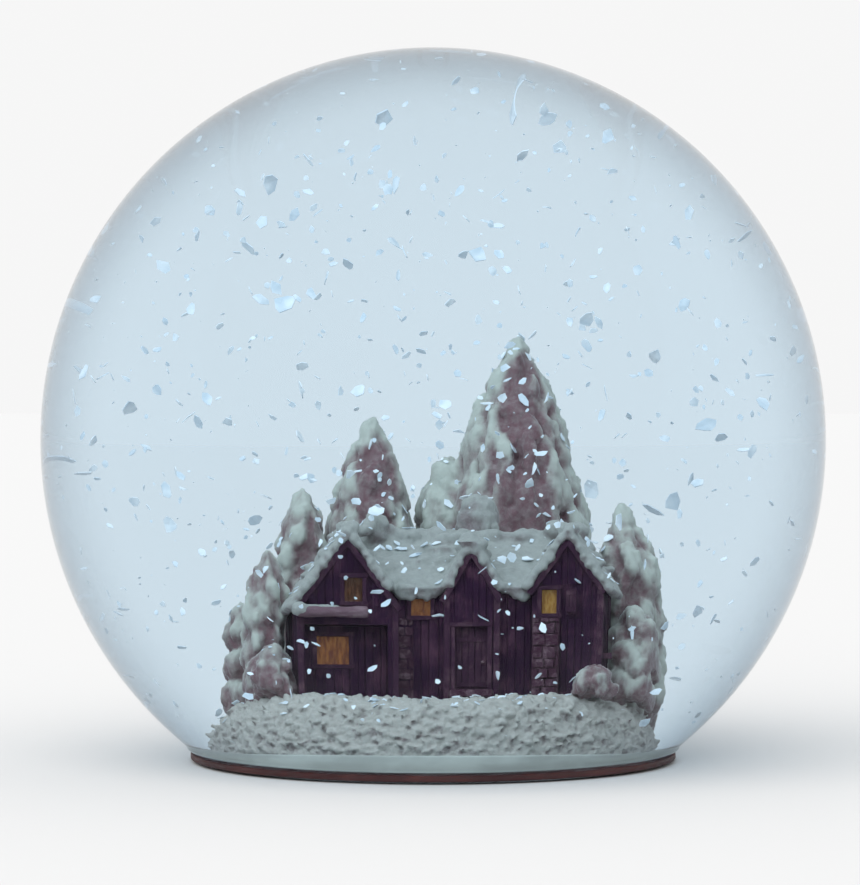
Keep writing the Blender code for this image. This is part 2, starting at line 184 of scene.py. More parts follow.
def clearFinish(name, settings):            # glass that lets lamps and soft light straight in
    finish = Finish(name)
    rays = finish.add("ShaderNodeLightPath", output="Is Shadow Ray")
    soft = finish.add("ShaderNodeLightPath", output="Is Diffuse Ray")
    tint = colour(*settings["tint"])
    if "edge" in settings:                  # deeper where the wall is seen edge on
        grazing = finish.add("ShaderNodeLayerWeight", {}, {"Blend": 0.5}, "Facing")
        tint = finish.mix(finish.span(grazing, 0.42, 0.95), tint, colour(*settings["edge"]))
    glass = finish.principled({
        "Base Color": tint, "Roughness": settings["rough"],
        "IOR": settings["ior"], "Transmission Weight": 1.0,
        "Specular Tint": colour(*settings["mirror"])})
    clear = finish.add("ShaderNodeBsdfTransparent", {}, {"Color": colour(*settings["shade"])})
    both = finish.add("ShaderNodeMixShader", {}, {"Fac": rays.most(soft), 1: glass, 2: clear})
    return finish.end(both)


clearSettings = {
    "globe_glass_outside": {"tint": (0.985, 0.995, 1.0), "rough": 0.0, "ior": 1.5,
                            "shade": (0.62, 0.67, 0.70), "mirror": (0.12, 0.13, 0.14),
                            "edge": (0.20, 0.27, 0.33)},
    "globe_glass_wetted": {"tint": (0.985, 0.995, 1.0), "rough": 0.0, "ior": 1.103,
                           "shade": (0.98, 0.99, 1.0), "mirror": (0.5, 0.5, 0.5)},
    "clear_liquid": {"tint": (0.675, 0.795, 0.88), "rough": 0.0, "ior": 1.0,
                     "shade": (0.95, 0.98, 1.0), "mirror": (0.0, 0.0, 0.0)},
    "clear_hollow": {"tint": (1.0, 1.0, 1.0), "rough": 0.0, "ior": 1.0, "shade": (1.0, 1.0, 1.0),
                     "mirror": (0.0, 0.0, 0.0)},
    "air_bubble": {"tint": (1.0, 1.0, 1.0), "rough": 0.0, "ior": 1.36, "shade": (0.9, 0.95, 1.0),
                   "mirror": (0.8, 0.8, 0.8)},
}
clear = {name: clearFinish(name, settings) for name, settings in clearSettings.items()}


def snowFinish(name, settings):             # cast and painted snow, with painted shade in its hollows and on its undersides, and random darker patches
    finish = Finish(name)
    hollow = finish.painted("hollow")
    broad = finish.noise(settings["patch"], 4.0, 0.6)
    fine = finish.noise(settings["grain"], 5.0, 0.7)
    strands = finish.noise(settings["grain"] * 1.6, 4.0, 0.6, stretch=settings["stretch"])
    # painted shade: the mesh's hollow value darkens the snow, mixed with random darker patches
    shadeAndPatches = finish.span(hollow + (broad - 0.5) * settings["wander"], settings["darkFrom"], settings["darkTo"])
    base = finish.mix(shadeAndPatches, colour(*settings["light"]), colour(*settings["dark"]))
    # painted highlight: random speckles of the pale glint colour stand in for sparkle
    base = finish.mix(finish.span(fine, 0.35, 0.75, 0.0, settings["speckle"]), base,
                      colour(*settings["glint"]))
    height = fine * 0.55 + strands * 0.45
    shader = finish.principled({
        "Base Color": base, "Roughness": finish.span(fine, 0.3, 0.7, 0.62, 0.9),
        "Normal": finish.bump(height, settings["bump"]), "Sheen Weight": settings["rim"],
        "Sheen Roughness": 0.35})
    return finish.end(shader)


snowSettings = {
    "ground_snow": {"light": (0.49, 0.47, 0.43), "dark": (0.17, 0.122, 0.126), "glint": (0.62, 0.64, 0.60),
                    "patch": 6 * mm, "grain": 0.55 * mm, "stretch": (1, 1, 0.35), "wander": 0.5,
                    "darkFrom": 0.3, "darkTo": 0.8, "speckle": 0.5, "bump": 0.35 * mm, "rim": 0.15},
    "roof_snow": {"light": (0.365, 0.375, 0.35), "dark": (0.20, 0.15, 0.155), "glint": (0.58, 0.60, 0.58),
                  "patch": 5 * mm, "grain": 0.7 * mm, "stretch": (1, 1, 0.6), "wander": 0.5,
                  "darkFrom": 0.25, "darkTo": 0.85, "speckle": 0.35, "bump": 0.22 * mm, "rim": 0.3},
    "fir_snow": {"light": (0.54, 0.57, 0.51), "dark": (0.19, 0.098, 0.112), "glint": (0.62, 0.67, 0.63),
                 "patch": 4.5 * mm, "grain": 0.6 * mm, "stretch": (1, 1, 0.6), "wander": 0.7,
                 "darkFrom": 0.15, "darkTo": 0.75, "speckle": 0.25, "bump": 0.18 * mm, "rim": 0.55},
}
snow = {name: snowFinish(name, settings) for name, settings in snowSettings.items()}


def timberFinish(name, settings):           # stained boards with a little mauve dust on them
    finish = Finish(name)
    grain = finish.noise(settings["grain"], 5.0, 0.65, stretch=settings["along"])
    patch = finish.noise(settings["patch"], 3.0, 0.6)
    dust = finish.span(patch * 0.6 + grain * 0.4, 0.45, 0.72)
    base = finish.mix(dust, colour(*settings["dark"]), colour(*settings["dusty"]))
    shader = finish.principled({
        "Base Color": base, "Roughness": finish.span(grain, 0.3, 0.7, 0.5, 0.8),
        "Specular IOR Level": settings["gloss"],    # low under the liquid, whose index is near their own
        "Normal": finish.bump(grain * 0.7 + patch * 0.3, settings["bump"])})
    return finish.end(shader)


timberSettings = {
    "dark_timber": {"dark": (0.027, 0.007, 0.027), "dusty": (0.115, 0.046, 0.078), "grain": 0.5 * mm,
                    "along": (3, 3, 0.5), "patch": 2.4 * mm, "bump": 0.12 * mm, "gloss": 0.1},
    "frame_timber": {"dark": (0.045, 0.016, 0.036), "dusty": (0.135, 0.068, 0.09), "grain": 0.4 * mm,
                     "along": (1.5, 1.5, 0.6), "patch": 1.8 * mm, "bump": 0.08 * mm, "gloss": 0.1},
    "pale_log": {"dark": (0.18, 0.105, 0.13), "dusty": (0.33, 0.235, 0.26), "grain": 0.5 * mm,
                 "along": (0.3, 2, 2), "patch": 1.6 * mm, "bump": 0.14 * mm, "gloss": 0.1},
    "wall_stone": {"dark": (0.060, 0.022, 0.040), "dusty": (0.24, 0.155, 0.18), "grain": 0.35 * mm,
                   "along": (1, 1, 1), "patch": 1.3 * mm, "bump": 0.15 * mm, "gloss": 0.1},
    "base_wood": {"dark": (0.030, 0.0065, 0.0075), "dusty": (0.085, 0.024, 0.022), "grain": 1.2 * mm,
                  "along": (0.6, 0.6, 6), "patch": 9 * mm, "bump": 0.05 * mm, "gloss": 0.5},
}
timber = {name: timberFinish(name, settings) for name, settings in timberSettings.items()}


def paneFinish(name, settings):             # painted amber glass, streaked
    finish = Finish(name)
    streak = finish.noise(settings["streak"], 3.0, 0.6, stretch=(2.5, 1, 0.7))
    base = finish.mix(finish.span(streak, 0.3, 0.7), colour(*settings["deep"]), colour(*settings["bright"]))
    # painted light: the panes glow a little (Emission, by glow) though no lamp is behind them; amber_bright,
    # amber_warm and amber_dim are amber at three brightnesses
    shader = finish.principled({
        "Base Color": base, "Roughness": finish.span(streak, 0.3, 0.7, 0.18, 0.35),
        "Coat Weight": 0.1, "Coat Roughness": 0.2, "Specular IOR Level": 0.2, "Emission Color": base,
        "Emission Strength": settings["glow"], "Normal": finish.bump(streak, 0.05 * mm)})
    return finish.end(shader)


paneSettings = {
    "amber_bright": {"streak": 0.8 * mm, "deep": (0.27, 0.125, 0.032), "bright": (0.46, 0.245, 0.05),
                     "glow": 0.12},
    "amber_warm": {"streak": 0.9 * mm, "deep": (0.17, 0.050, 0.028), "bright": (0.42, 0.150, 0.035),
                   "glow": 0.08},
    "amber_dim": {"streak": 0.8 * mm, "deep": (0.055, 0.018, 0.010), "bright": (0.16, 0.06, 0.022),
                  "glow": 0.02},
}
panes = {name: paneFinish(name, settings) for name, settings in paneSettings.items()}


def rubberFinish():
    settings = {"light": (0.42, 0.475, 0.455), "dark": (0.33, 0.37, 0.355), "grain": 0.25 * mm}
    finish = Finish("grey_rubber")
    grain = finish.noise(settings["grain"], 4.0, 0.6)
    bloom = finish.noise(7 * mm, 3.0, 0.6)
    base = finish.mix(finish.span(bloom, 0.35, 0.7), colour(*settings["dark"]), colour(*settings["light"]))
    return finish.end(finish.principled({
        "Base Color": base, "Roughness": finish.span(bloom, 0.3, 0.7, 0.42, 0.62),
        "Normal": finish.bump(grain, 0.03 * mm)}))


def feltFinish():
    finish = Finish("dark_felt")
    fibres = finish.noise(0.5 * mm, 6.0, 0.8)
    knots = finish.cells(0.35 * mm)
    base = finish.mix(finish.span(fibres, 0.3, 0.7), colour(0.030, 0.014, 0.018), colour(0.075, 0.04, 0.047))
    return finish.end(finish.principled({
        "Base Color": base, "Roughness": finish.span(fibres, 0.3, 0.7, 0.85, 1.0), "Sheen Weight": 0.6,
        "Sheen Roughness": 0.4, "Normal": finish.bump(fibres * 0.6 + knots * 0.4, 0.15 * mm)}))


def flakeFinish():                          # thin chips of pearly film
    finish = Finish("snow_flake")
    pearl = finish.noise(2.2 * mm, 2.0, 0.5)
    base = finish.mix(finish.span(pearl, 0.35, 0.65), colour(0.62, 0.72, 0.80), colour(0.86, 0.93, 0.98))
    # painted light: the chips glow a little (Emission Strength 0.13), though nothing in them gives light
    return finish.end(finish.principled({
        "Base Color": base, "Roughness": finish.span(pearl, 0.3, 0.7, 0.25, 0.45),
        "Coat Weight": 0.3, "Coat Roughness": 0.15,
        "Emission Color": base, "Emission Strength": 0.13,
        "Normal": finish.bump(finish.noise(0.5 * mm), 0.03 * mm)}))


rubber, felt, flakeFilm = rubberFinish(), feltFinish(), flakeFinish()
print("finishes made")


def addPiece(name, mesh, finish, body, nodes=()):
    piece = bpy.data.objects.new(name, mesh)
    for each in finish if isinstance(finish, tuple) else (finish,):
        mesh.materials.append(each)
    bpy.context.scene.collection.objects.link(piece)
    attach(piece, body)
    if nodes:
        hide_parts(*nodes)
    return piece


def meshFrom(name, shape):
    mesh = bpy.data.meshes.new(name)
    shape.to_mesh(mesh)
    shape.free()
    return mesh


def arc(radius, start, end, steps, centre=(0.0, 0.0)):
    points = []
    for i in range(steps + 1):
        angle = math.radians(start + (end - start) * i / steps)
        points.append((centre[0] + radius * math.cos(angle), centre[1] + radius * math.sin(angle)))
    return points


def turned(name, profile, segments, slots=None, ring=False):
    # profile: (radius, z) down the outside; it starts and ends on the axis, or closes on itself in a ring
    shape = bmesh.new()
    rings = []
    for radius, z in profile[:-1] if ring else profile:
        if radius < 1e-6:
            rings.append([shape.verts.new((0, 0, z))])
        else:
            loop = []
            for k in range(segments):
                angle = 2 * math.pi * k / segments
                loop.append(shape.verts.new((radius * math.cos(angle), radius * math.sin(angle), z)))
            rings.append(loop)
    if ring:
        rings.append(rings[0])
    for i in range(len(rings) - 1):
        upper, lower = rings[i], rings[i + 1]
        for k in range(segments):
            n = (k + 1) % segments
            loop = [upper[k % len(upper)], lower[k % len(lower)],
                    lower[n % len(lower)], upper[n % len(upper)]]
            loop = list(dict.fromkeys(loop))
            if len(loop) > 2:
                face = shape.faces.new(loop)
                face.smooth = True
                if slots:
                    face.material_index = slots[i]
    bmesh.ops.recalc_face_normals(shape, faces=shape.faces)
    return meshFrom(name, shape)


# the glass: a blown ball, its rim fire-polished round
glassSettings = {"wall": 2.2 * mm, "segments": 160, "rings": 96, "rimRound": 0.7 * mm}


def makeGlass(settings):
    inner = ballRadius - settings["wall"]
    drop = ballCentre.z - rimZ
    rounding = settings["rimRound"]
    outEnd = -math.degrees(math.asin((drop - rounding) / ballRadius))
    inStart = -math.degrees(math.asin((drop - rounding) / inner))
    outside = arc(ballRadius, 90, outEnd, settings["rings"])
    inside = arc(inner, inStart, 90, settings["rings"])
    outRim, inRim = outside[-1][0], inside[0][0]
    rim = []
    steps = 8
    for i in range(1, steps):                # quarter rounds at both edges of the cut
        turn = math.radians(90 * i / steps)
        rim.append((outRim - rounding * (1 - math.cos(turn)), rounding - drop - rounding * math.sin(turn)))
    for i in range(1, steps):
        turn = math.radians(90 * (1 - i / steps))
        rim.append((inRim + rounding * (1 - math.cos(turn)), -(drop - rounding) - rounding * math.sin(turn)))
    profile = outside + rim + inside
    profile = [(r, z + ballCentre.z) for r, z in profile]
    profile[0] = (0, profile[0][1])
    profile[-1] = (0, profile[-1][1])
    slots = [0 if i < len(outside) + len(rim) else 1 for i in range(len(profile))]
    mesh = turned("globe_glass", profile, settings["segments"], slots)
    addPiece("globe_glass", mesh, (clear["globe_glass_outside"], clear["globe_glass_wetted"]),
             globeBody, ["glass_globe"])
    return inner


innerRadius = makeGlass(glassSettings)

# the liquid: fills the ball, hollow round the scene, flat under its bubble
liquidSettings = {"gap": 0.3 * mm, "segments": 96, "rings": 64, "bubble": 5.3 * mm}


def makeLiquid(settings):
    low, high = corners("liquid_fill")
    radius = innerRadius - settings["gap"]
    foot = low.z - ballCentre.z
    top = math.degrees(math.acos(settings["bubble"] / radius))
    outside = arc(radius, top, math.degrees(math.asin(foot / radius)), settings["rings"])
    flat = [(0, outside[0][1])]
    hollow = [(r * mm, z * mm) for r, z in ((22.9, -7.5), (21.9, -4.0), (20.0, 1.0), (17.6, 6.5),
                                            (15.2, 10.4), (8.0, 11.7), (0, 12.0))]
    profile = flat + outside + [(22.9 * mm, foot)] + hollow
    profile = [(r, z + ballCentre.z) for r, z in profile]
    slots = [0 if i < len(outside) + 1 else 1 for i in range(len(profile))]
    mesh = turned("liquid", profile, settings["segments"], slots)
    addPiece("liquid", mesh, (clear["clear_liquid"], clear["clear_hollow"]), liquidBody,
             ["liquid_fill"])
    lens = [(0, ballCentre.z + radius - 0.02 * mm)]
    for i in range(1, 9):
        share = i / 8
        r = settings["bubble"] * 0.9 * share
        lens.append((r, ballCentre.z + math.sqrt(max((radius - 0.02 * mm) ** 2 - r ** 2, 0))))
    lens += [(settings["bubble"] * 0.8, high.z + 0.05 * mm), (0, high.z + 0.05 * mm)]
    bubble = turned("air_bubble", lens, 64)
    addPiece("air_bubble", bubble, clear["air_bubble"], liquidBody)


makeLiquid(liquidSettings)
print("glass and liquid made")


def remeshed(name, shape, voxel, smooth):    # one skin over a heap of lumps
    rough = meshFrom(name, shape)
    heap = bpy.data.objects.new(name, rough)
    bpy.context.scene.collection.objects.link(heap)
    skin = heap.modifiers.new("skin", "REMESH")
    skin.mode = "VOXEL"
    skin.voxel_size = voxel
    skin.use_smooth_shade = True
    if smooth:
        relax = heap.modifiers.new("relax", "SMOOTH")
        relax.factor = 0.5
        relax.iterations = smooth
    bpy.context.view_layer.update()
    graph = bpy.context.evaluated_depsgraph_get()
    mesh = bpy.data.meshes.new_from_object(heap.evaluated_get(graph))
    bpy.data.objects.remove(heap)
    bpy.data.meshes.remove(rough)
    mesh.name = name
    mesh.shade_smooth()
    return mesh


def lump(shape, centre, radii, turn=None, detail=2):
    matrix = Matrix.Translation(centre)
    if turn:
        matrix = matrix @ turn.to_4x4()
    matrix = matrix @ Matrix.Diagonal((*radii, 1))
    bmesh.ops.create_icosphere(shape, subdivisions=detail, radius=1.0, matrix=matrix)


def turbulence(point, size, octaves=4):
    return noise.fractal(point / size, 0.7, 2.1, octaves)


def weather(mesh, depth, size, fine=0.0, fineSize=1.0, shade=None, tall=1.0):
    # pushes the skin in and out along its normals, and paints how sunken each point is: a painted-shade
    # value, higher on the undersides and where the skin is pushed in
    points = [v.co.copy() for v in mesh.vertices]
    normals = [v.normal.copy() for v in mesh.vertices]
    hollow = mesh.attributes.new("hollow", "FLOAT", "POINT")
    for i, (point, normal) in enumerate(zip(points, normals)):
        rough = turbulence(Vector((point.x, point.y, point.z / tall)), size)
        push = rough * depth
        if fine:
            push += turbulence(point + Vector((7, 3, 5)), fineSize, 3) * fine
        mesh.vertices[i].co = point + normal * push
        # painted shade: facing down and being pushed in both raise the value that darkens the colour
        under = 0.5 - 0.5 * normal.z
        hollow.data[i].value = under * 0.75 - rough * 0.35 + (shade(point, normal) if shade else 0)
    mesh.update()


def fromNode(node):                          # a copy of a CAD node's own mesh, as a starting shape
    shape = bmesh.new()
    shape.from_mesh(bpy.data.objects[node].data)
    return shape


# the ground: crumbled, fibrous snow
groundSettings = {"voxel": 0.21 * mm, "depth": 0.22 * mm, "size": 1.0 * mm, "fine": 0.16 * mm,
                  "fineSize": 0.45 * mm, "crumbs": 300, "strands": 3200}


def makeGround(settings):
    low, high = corners("snow_mound")
    shape = fromNode("snow_mound")
    skin = BVHTree.FromBMesh(shape)
    rand = random.Random(4)
    for k in range(settings["crumbs"] + settings["strands"]):   # loose clods, and short strands lying anyhow
        angle = rand.uniform(0, 2 * math.pi)
        reach = high.x * rand.uniform(0.55, 1.0) ** 0.6
        start = Vector((reach * math.cos(angle), reach * math.sin(angle), high.z + 1 * mm))
        if reach > high.x - 2.2 * mm:        # on the steep side, cast inward instead of down
            level = rand.uniform(low.z + 1 * mm, high.z - 0.8 * mm)
            start = Vector((start.x * 1.3, start.y * 1.3, level))
            point = skin.ray_cast(start, Vector((-start.x, -start.y, 0)).normalized())[0]
        else:
            point = skin.ray_cast(start, Vector((0, 0, -1)))[0]
        if point is None:
            continue
        if k < settings["crumbs"]:
            size = rand.uniform(0.4, 0.85) * mm
            turn = Matrix.Rotation(rand.uniform(0, 3), 3, "Z")
            lump(shape, point, (size * 1.25, size * 0.8, size * 0.6), turn, 1)
        else:
            size = rand.uniform(0.5, 1.15) * mm
            turn = Matrix.Rotation(rand.uniform(0, 6.3), 3, "Z")
            turn = turn @ Matrix.Rotation(rand.uniform(-0.9, 0.9), 3, "Y")
            lump(shape, point, (size, size * 0.26, size * 0.26), turn, 1)
    mesh = remeshed("ground", shape, settings["voxel"], 1)
    weather(mesh, settings["depth"], settings["size"], settings["fine"], settings["fineSize"])
    addPiece("ground", mesh, snow["ground_snow"], globeBody, ["snow_mound"])


makeGround(groundSettings)
print("ground made")


def inBall(x, y, z):                         # millimetres from the middle of the ball
    return ballCentre + Vector((x, y, z)) * mm


# the roof: one thick blanket of snow, heaped on the ridges and drooping at the eaves
gables = {                                   # middle, half width, front, back, eave and apex
    "left": (-8.5, 4.9, -11.0, 4.3, -16.1, -9.6),
    "porch": (3.8, 2.6, -9.6, -3.0, -15.0, -10.5),
    "right": (13.3, 3.5, -10.2, -2.2, -14.4, -9.6),
}
hall = {"left": -8.5, "right": 13.0, "front": -8.7, "back": 4.3, "eave": -14.6, "ridge": -10.1}
roofSettings = {"voxel": 0.24 * mm, "depth": 0.24 * mm, "size": 2.0 * mm, "fine": 0.07 * mm,
                "fineSize": 0.7 * mm, "thick": 0.75, "past": 0.9, "drifts": 95}


def slab(shape, top, foot, along, thick, lift):
    # a thick board between a ridge line and an eave line, both running the way of along
    slope = foot - top
    out = slope.cross(along).normalized()
    if out.z < 0:
        out = -out
    points = []
    for rise in (lift * mm, (lift + thick) * mm):
        for edge in (top, foot):
            for end in (0, 1):
                points.append(shape.verts.new(edge + along * end + out * rise))
    for ids in ((0, 1, 3, 2), (4, 5, 7, 6), (0, 1, 5, 4), (2, 3, 7, 6), (0, 2, 6, 4), (1, 3, 7, 5)):
        shape.faces.new([points[i] for i in ids])


def roofHeight(x, y):                        # the bare roof under the snow
    middle = (hall["front"] + hall["back"]) / 2
    half = (hall["back"] - hall["front"]) / 2
    best = -99.0
    if hall["left"] - 1 < x < hall["right"] + 0.9:
        best = hall["ridge"] - abs(y - middle) * (hall["ridge"] - hall["eave"]) / half
    for centre, wide, front, back, eave, apex in gables.values():
        if abs(x - centre) < wide + 0.8 and front - 0.9 < y < back + 0.9:
            best = max(best, apex - abs(x - centre) * (apex - eave) / wide)
    return best


def makeRoof(settings):
    shape = bmesh.new()
    rand = random.Random(8)
    past, thick = settings["past"], settings["thick"]
    middle = (hall["front"] + hall["back"]) / 2
    half = (hall["back"] - hall["front"]) / 2
    pitch = (hall["ridge"] - hall["eave"]) / half
    end = hall["right"] + 0.5
    runs = ((hall["left"], end, -1, -0.2), (hall["left"], end, 1, past),
            (-3.4, 1.0, -1, past), (6.6, 9.6, -1, past))   # the front eave stands out only between gables
    for left, right, side, over in runs:
        top = inBall(left, middle, hall["ridge"])
        foot = inBall(left, middle + side * (half + over), hall["ridge"] - (half + over) * pitch)
        slab(shape, top, foot, Vector((right - left, 0, 0)) * mm, thick * 1.25, 0.15)
    for name, (centre, wide, front, back, eave, apex) in gables.items():
        pitch = (apex - eave) / wide
        past = settings["past"] if name == "left" else 0.2
        length = Vector((0, back + past - front + settings["past"], 0)) * mm
        meeting = (apex - hall["eave"] + 0.3) / pitch
        inner = {"left": (1,), "porch": (-1, 1), "right": (-1,)}[name]   # sides that meet the hall's eave
        for side in (-1, 1):
            top = inBall(centre, front - settings["past"], apex)
            reach = min(meeting, wide + 0.75) if side in inner else wide + 0.75
            foot = inBall(centre + side * reach, front - settings["past"], apex - reach * pitch)
            slab(shape, top, foot, length, thick, 0.15)
            steps = round(reach / 0.6)
            for i in range(steps + 1):       # a rolled lip down the verge
                out = (reach - 0.15) * i / steps
                lift = 0.72 if i < 3 else 0.58
                size = rand.uniform(0.42, 0.62)
                across = centre + side * out + rand.uniform(-0.2, 0.2)
                lump(shape, inBall(across, front - 0.5, apex + lift - out * pitch),
                     (size * mm, 0.7 * mm, size * mm))
        for k in range(3):                   # snow heaped on the point of the gable
            lump(shape, inBall(centre + rand.uniform(-0.4, 0.4), front + 0.1 + k * 1.7, apex + 1.0),
                 (0.85 * mm, 1.0 * mm, rand.uniform(0.55, 0.8) * mm))
    for x, y, z, size in ((-6.3, -4.8, -8.3, 0.8), (-5.7, -4.2, -7.5, 0.75), (-4.9, -3.9, -7.9, 0.85),
                          (-5.4, -3.4, -8.8, 1.3), (-4.1, -3.0, -8.5, 0.8), (-6.7, -5.6, -8.7, 0.75),
                          (-6.0, -2.6, -8.6, 1.2), (11.6, -3.0, -8.6, 1.1), (14.0, -4.0, -8.8, 1.0)):
        lump(shape, inBall(x, y, z), (size * mm, size * mm, size * 0.95 * mm))
    for i in range(15):                      # heaped along the ridge
        across = -6.5 + 19.0 * i / 14
        size = rand.uniform(0.8, 1.3)
        lump(shape, inBall(across, middle + rand.uniform(-0.6, 0.6), hall["ridge"] + 0.9),
             (1.4 * mm, 1.1 * mm, size * 0.8 * mm))
    for across in (-3.2, -2.3, -1.3, -0.5, 0.3, 7.3, 8.1, 8.9):   # scallops over the eaves
        size = rand.uniform(0.5, 1.15)
        lump(shape, inBall(across, hall["front"] - 0.6, hall["eave"] - 0.1 + rand.uniform(-0.3, 0.3)),
             (0.65 * mm, 0.55 * mm, size * mm))
    for _ in range(settings["drifts"]):      # uneven drifts over the slopes
        x, y = rand.uniform(-13.6, 16.8), rand.uniform(-11.4, 4.6)
        up = roofHeight(x, y)
        if up < -90:
            continue
        size = rand.uniform(0.8, 1.6)
        if y < -8.0 and up < -13.0:
            continue
        lump(shape, inBall(x, y, up + 0.85), (size * mm, size * 0.9 * mm, rand.uniform(0.35, 0.75) * mm),
             Matrix.Rotation(rand.uniform(0, 3), 3, "Z"))
    bmesh.ops.recalc_face_normals(shape, faces=shape.faces)
    mesh = remeshed("roof_blanket", shape, settings["voxel"], 3)
    weather(mesh, settings["depth"], settings["size"], settings["fine"], settings["fineSize"])
    addPiece("roof_blanket", mesh, snow["roof_snow"], globeBody, ["roof_snow"])


makeRoof(roofSettings)
print("roof made")

# firs: snow-laden boughs that droop from a core, thickly iced
firSettings = {
    node: {"shoulder": shoulder, "bough": bough, "seed": seed, "lean": lean, "patch": patch, "short": short}
    for node, shoulder, bough, seed, lean, patch, short in (
        ("fir_tall", 15.0, 1.75, 21, (0.5, 0.0), 0.75, 0.9),
        ("fir_back_left", 8.0, 1.6, 22, (0.2, 0.0), 0.65, 1.0),
        ("fir_left", 3.0, 1.4, 23, (0.6, -0.2), 0.15, 0.7),
        ("fir_far_left", 4.0, 1.5, 24, (0.8, 0.0), 0.15, 2.4),
        ("fir_right", 5.5, 1.75, 25, (-0.3, -0.4), 0.1, 1.2))}
shrubSettings = {
    node: {"lumps": lumps, "seed": seed, "patch": patch, "top": top, "clump": clump}
    for node, lumps, seed, patch, top, clump in (
        ("shrub_left_front", 60, 31, 0.38, 1.0, (0.55, 1.05)),
        ("shrub_left_back", 40, 32, 0.2, 1.0, (0.8, 1.6)),
        ("shrub_right_front", 54, 33, 0.28, 0.55, (0.5, 0.95)),
        ("shrub_right_side", 44, 35, 0.2, 0.95, (0.8, 1.5)),
        ("shrub_right_back", 38, 34, 0.2, 1.0, (0.8, 1.6)))}
firSkin = {"voxel": 0.24 * mm, "depth": 0.42 * mm, "size": 1.5 * mm, "fine": 0.09 * mm,
           "fineSize": 0.6 * mm, "smooth": 6, "tall": 2.6}


def reachAt(drop, spread, shoulder):
    return spread * min(1.0, max(drop, 0) / shoulder) ** 0.6


def keepIn(mesh):                            # nothing that grows here passes the liquid's hollow
    widest = 22.4 * mm
    for vert in mesh.vertices:
        out = math.hypot(vert.co.x, vert.co.y)
        if out > widest:
            vert.co.x *= widest / out
            vert.co.y *= widest / out


def boughs(shape, rand, foot, tip, spread, shoulder, bough, lean):
    drop = bough * 0.55
    while tip - drop > foot.z + bough * 0.2:
        reach = reachAt(drop, spread, shoulder)
        tall = (tip - foot.z - drop) / (tip - foot.z)
        axis = Vector((foot.x + lean[0] * tall, foot.y + lean[1] * tall, tip - drop))
        size = bough * (0.55 + 0.45 * min(1.0, drop / shoulder))
        count = max(4, round(2 * math.pi * max(reach - size * 0.8, 0) / (size * 1.15)))
        start = rand.uniform(0, math.pi)
        for k in range(count):
            angle = start + 2 * math.pi * (k + rand.uniform(-0.3, 0.3)) / count
            grow = size * rand.uniform(0.6, 1.1)
            out = max(reach - grow * rand.uniform(0.75, 1.05), 0)
            centre = axis + Vector((out * math.cos(angle), out * math.sin(angle),
                                    rand.uniform(-0.5, 0.4) * size))
            turn = Matrix.Rotation(angle, 3, "Z") @ Matrix.Rotation(rand.uniform(-0.5, -0.1), 3, "Y")
            lump(shape, centre, (grow * 0.8, grow * 0.72, grow * rand.uniform(1.1, 1.9)), turn)
        lump(shape, axis, (max(reach * 0.8, size * 0.5),) * 2 + (bough,))
        drop += bough * rand.uniform(0.75, 1.0)
    lump(shape, Vector((foot.x + lean[0], foot.y + lean[1], tip - bough * 0.6)),
         (bough * 0.6, bough * 0.6, bough * 0.62))


def makeFir(node, settings):
    low, high = corners(node)
    spread = (high.y - low.y) / 2
    foot = Vector((high.x - spread, (low.y + high.y) / 2, low.z))
    rand = random.Random(settings["seed"])
    bough = settings["bough"] * mm
    shoulder = settings["shoulder"] * mm
    lean = [value * mm for value in settings["lean"]]
    shape = bmesh.new()
    boughs(shape, rand, foot, high.z - settings["short"] * mm, spread, shoulder, bough, lean)
    if node == "fir_tall":                   # its lower shoot, on the left
        side = foot + Vector((-5.4, 0.4, 8.0)) * mm
        boughs(shape, rand, side, inBall(0, 0, -1.8).z, 3.2 * mm, 4.0 * mm, 1.2 * mm, (-0.4 * mm, 0))
    mesh = remeshed(node + "_boughs", shape, firSkin["voxel"], firSkin["smooth"])
    height = high.z - low.z

    def paintedShade(point, normal):                 # painted shade: darker towards the trunk, deep among the boughs, and in a band down the middle of front and back, none at the very tip
        reach = max(reachAt(high.z - point.z, spread, shoulder), 0.6 * mm)
        tall = (point.z - foot.z) / height
        away = Vector((point.x - foot.x - lean[0] * tall, point.y - foot.y - lean[1] * tall))
        tip = min(1.0, max(0.0, high.z - settings["short"] * mm - point.z) / (3.0 * mm))
        band = max(0.0, 1 - abs(away.x - 0.15 * reach) / (0.62 * reach))
        band *= 1.0 + 1.1 * turbulence(point, 4 * mm, 2)
        return tip * (1.1 * max(0.0, 0.95 - away.length / reach) + settings["patch"] * band)

    weather(mesh, firSkin["depth"], firSkin["size"], firSkin["fine"], firSkin["fineSize"], paintedShade,
            firSkin["tall"])
    keepIn(mesh)
    addPiece(node + "_boughs", mesh, snow["fir_snow"], globeBody, [node])


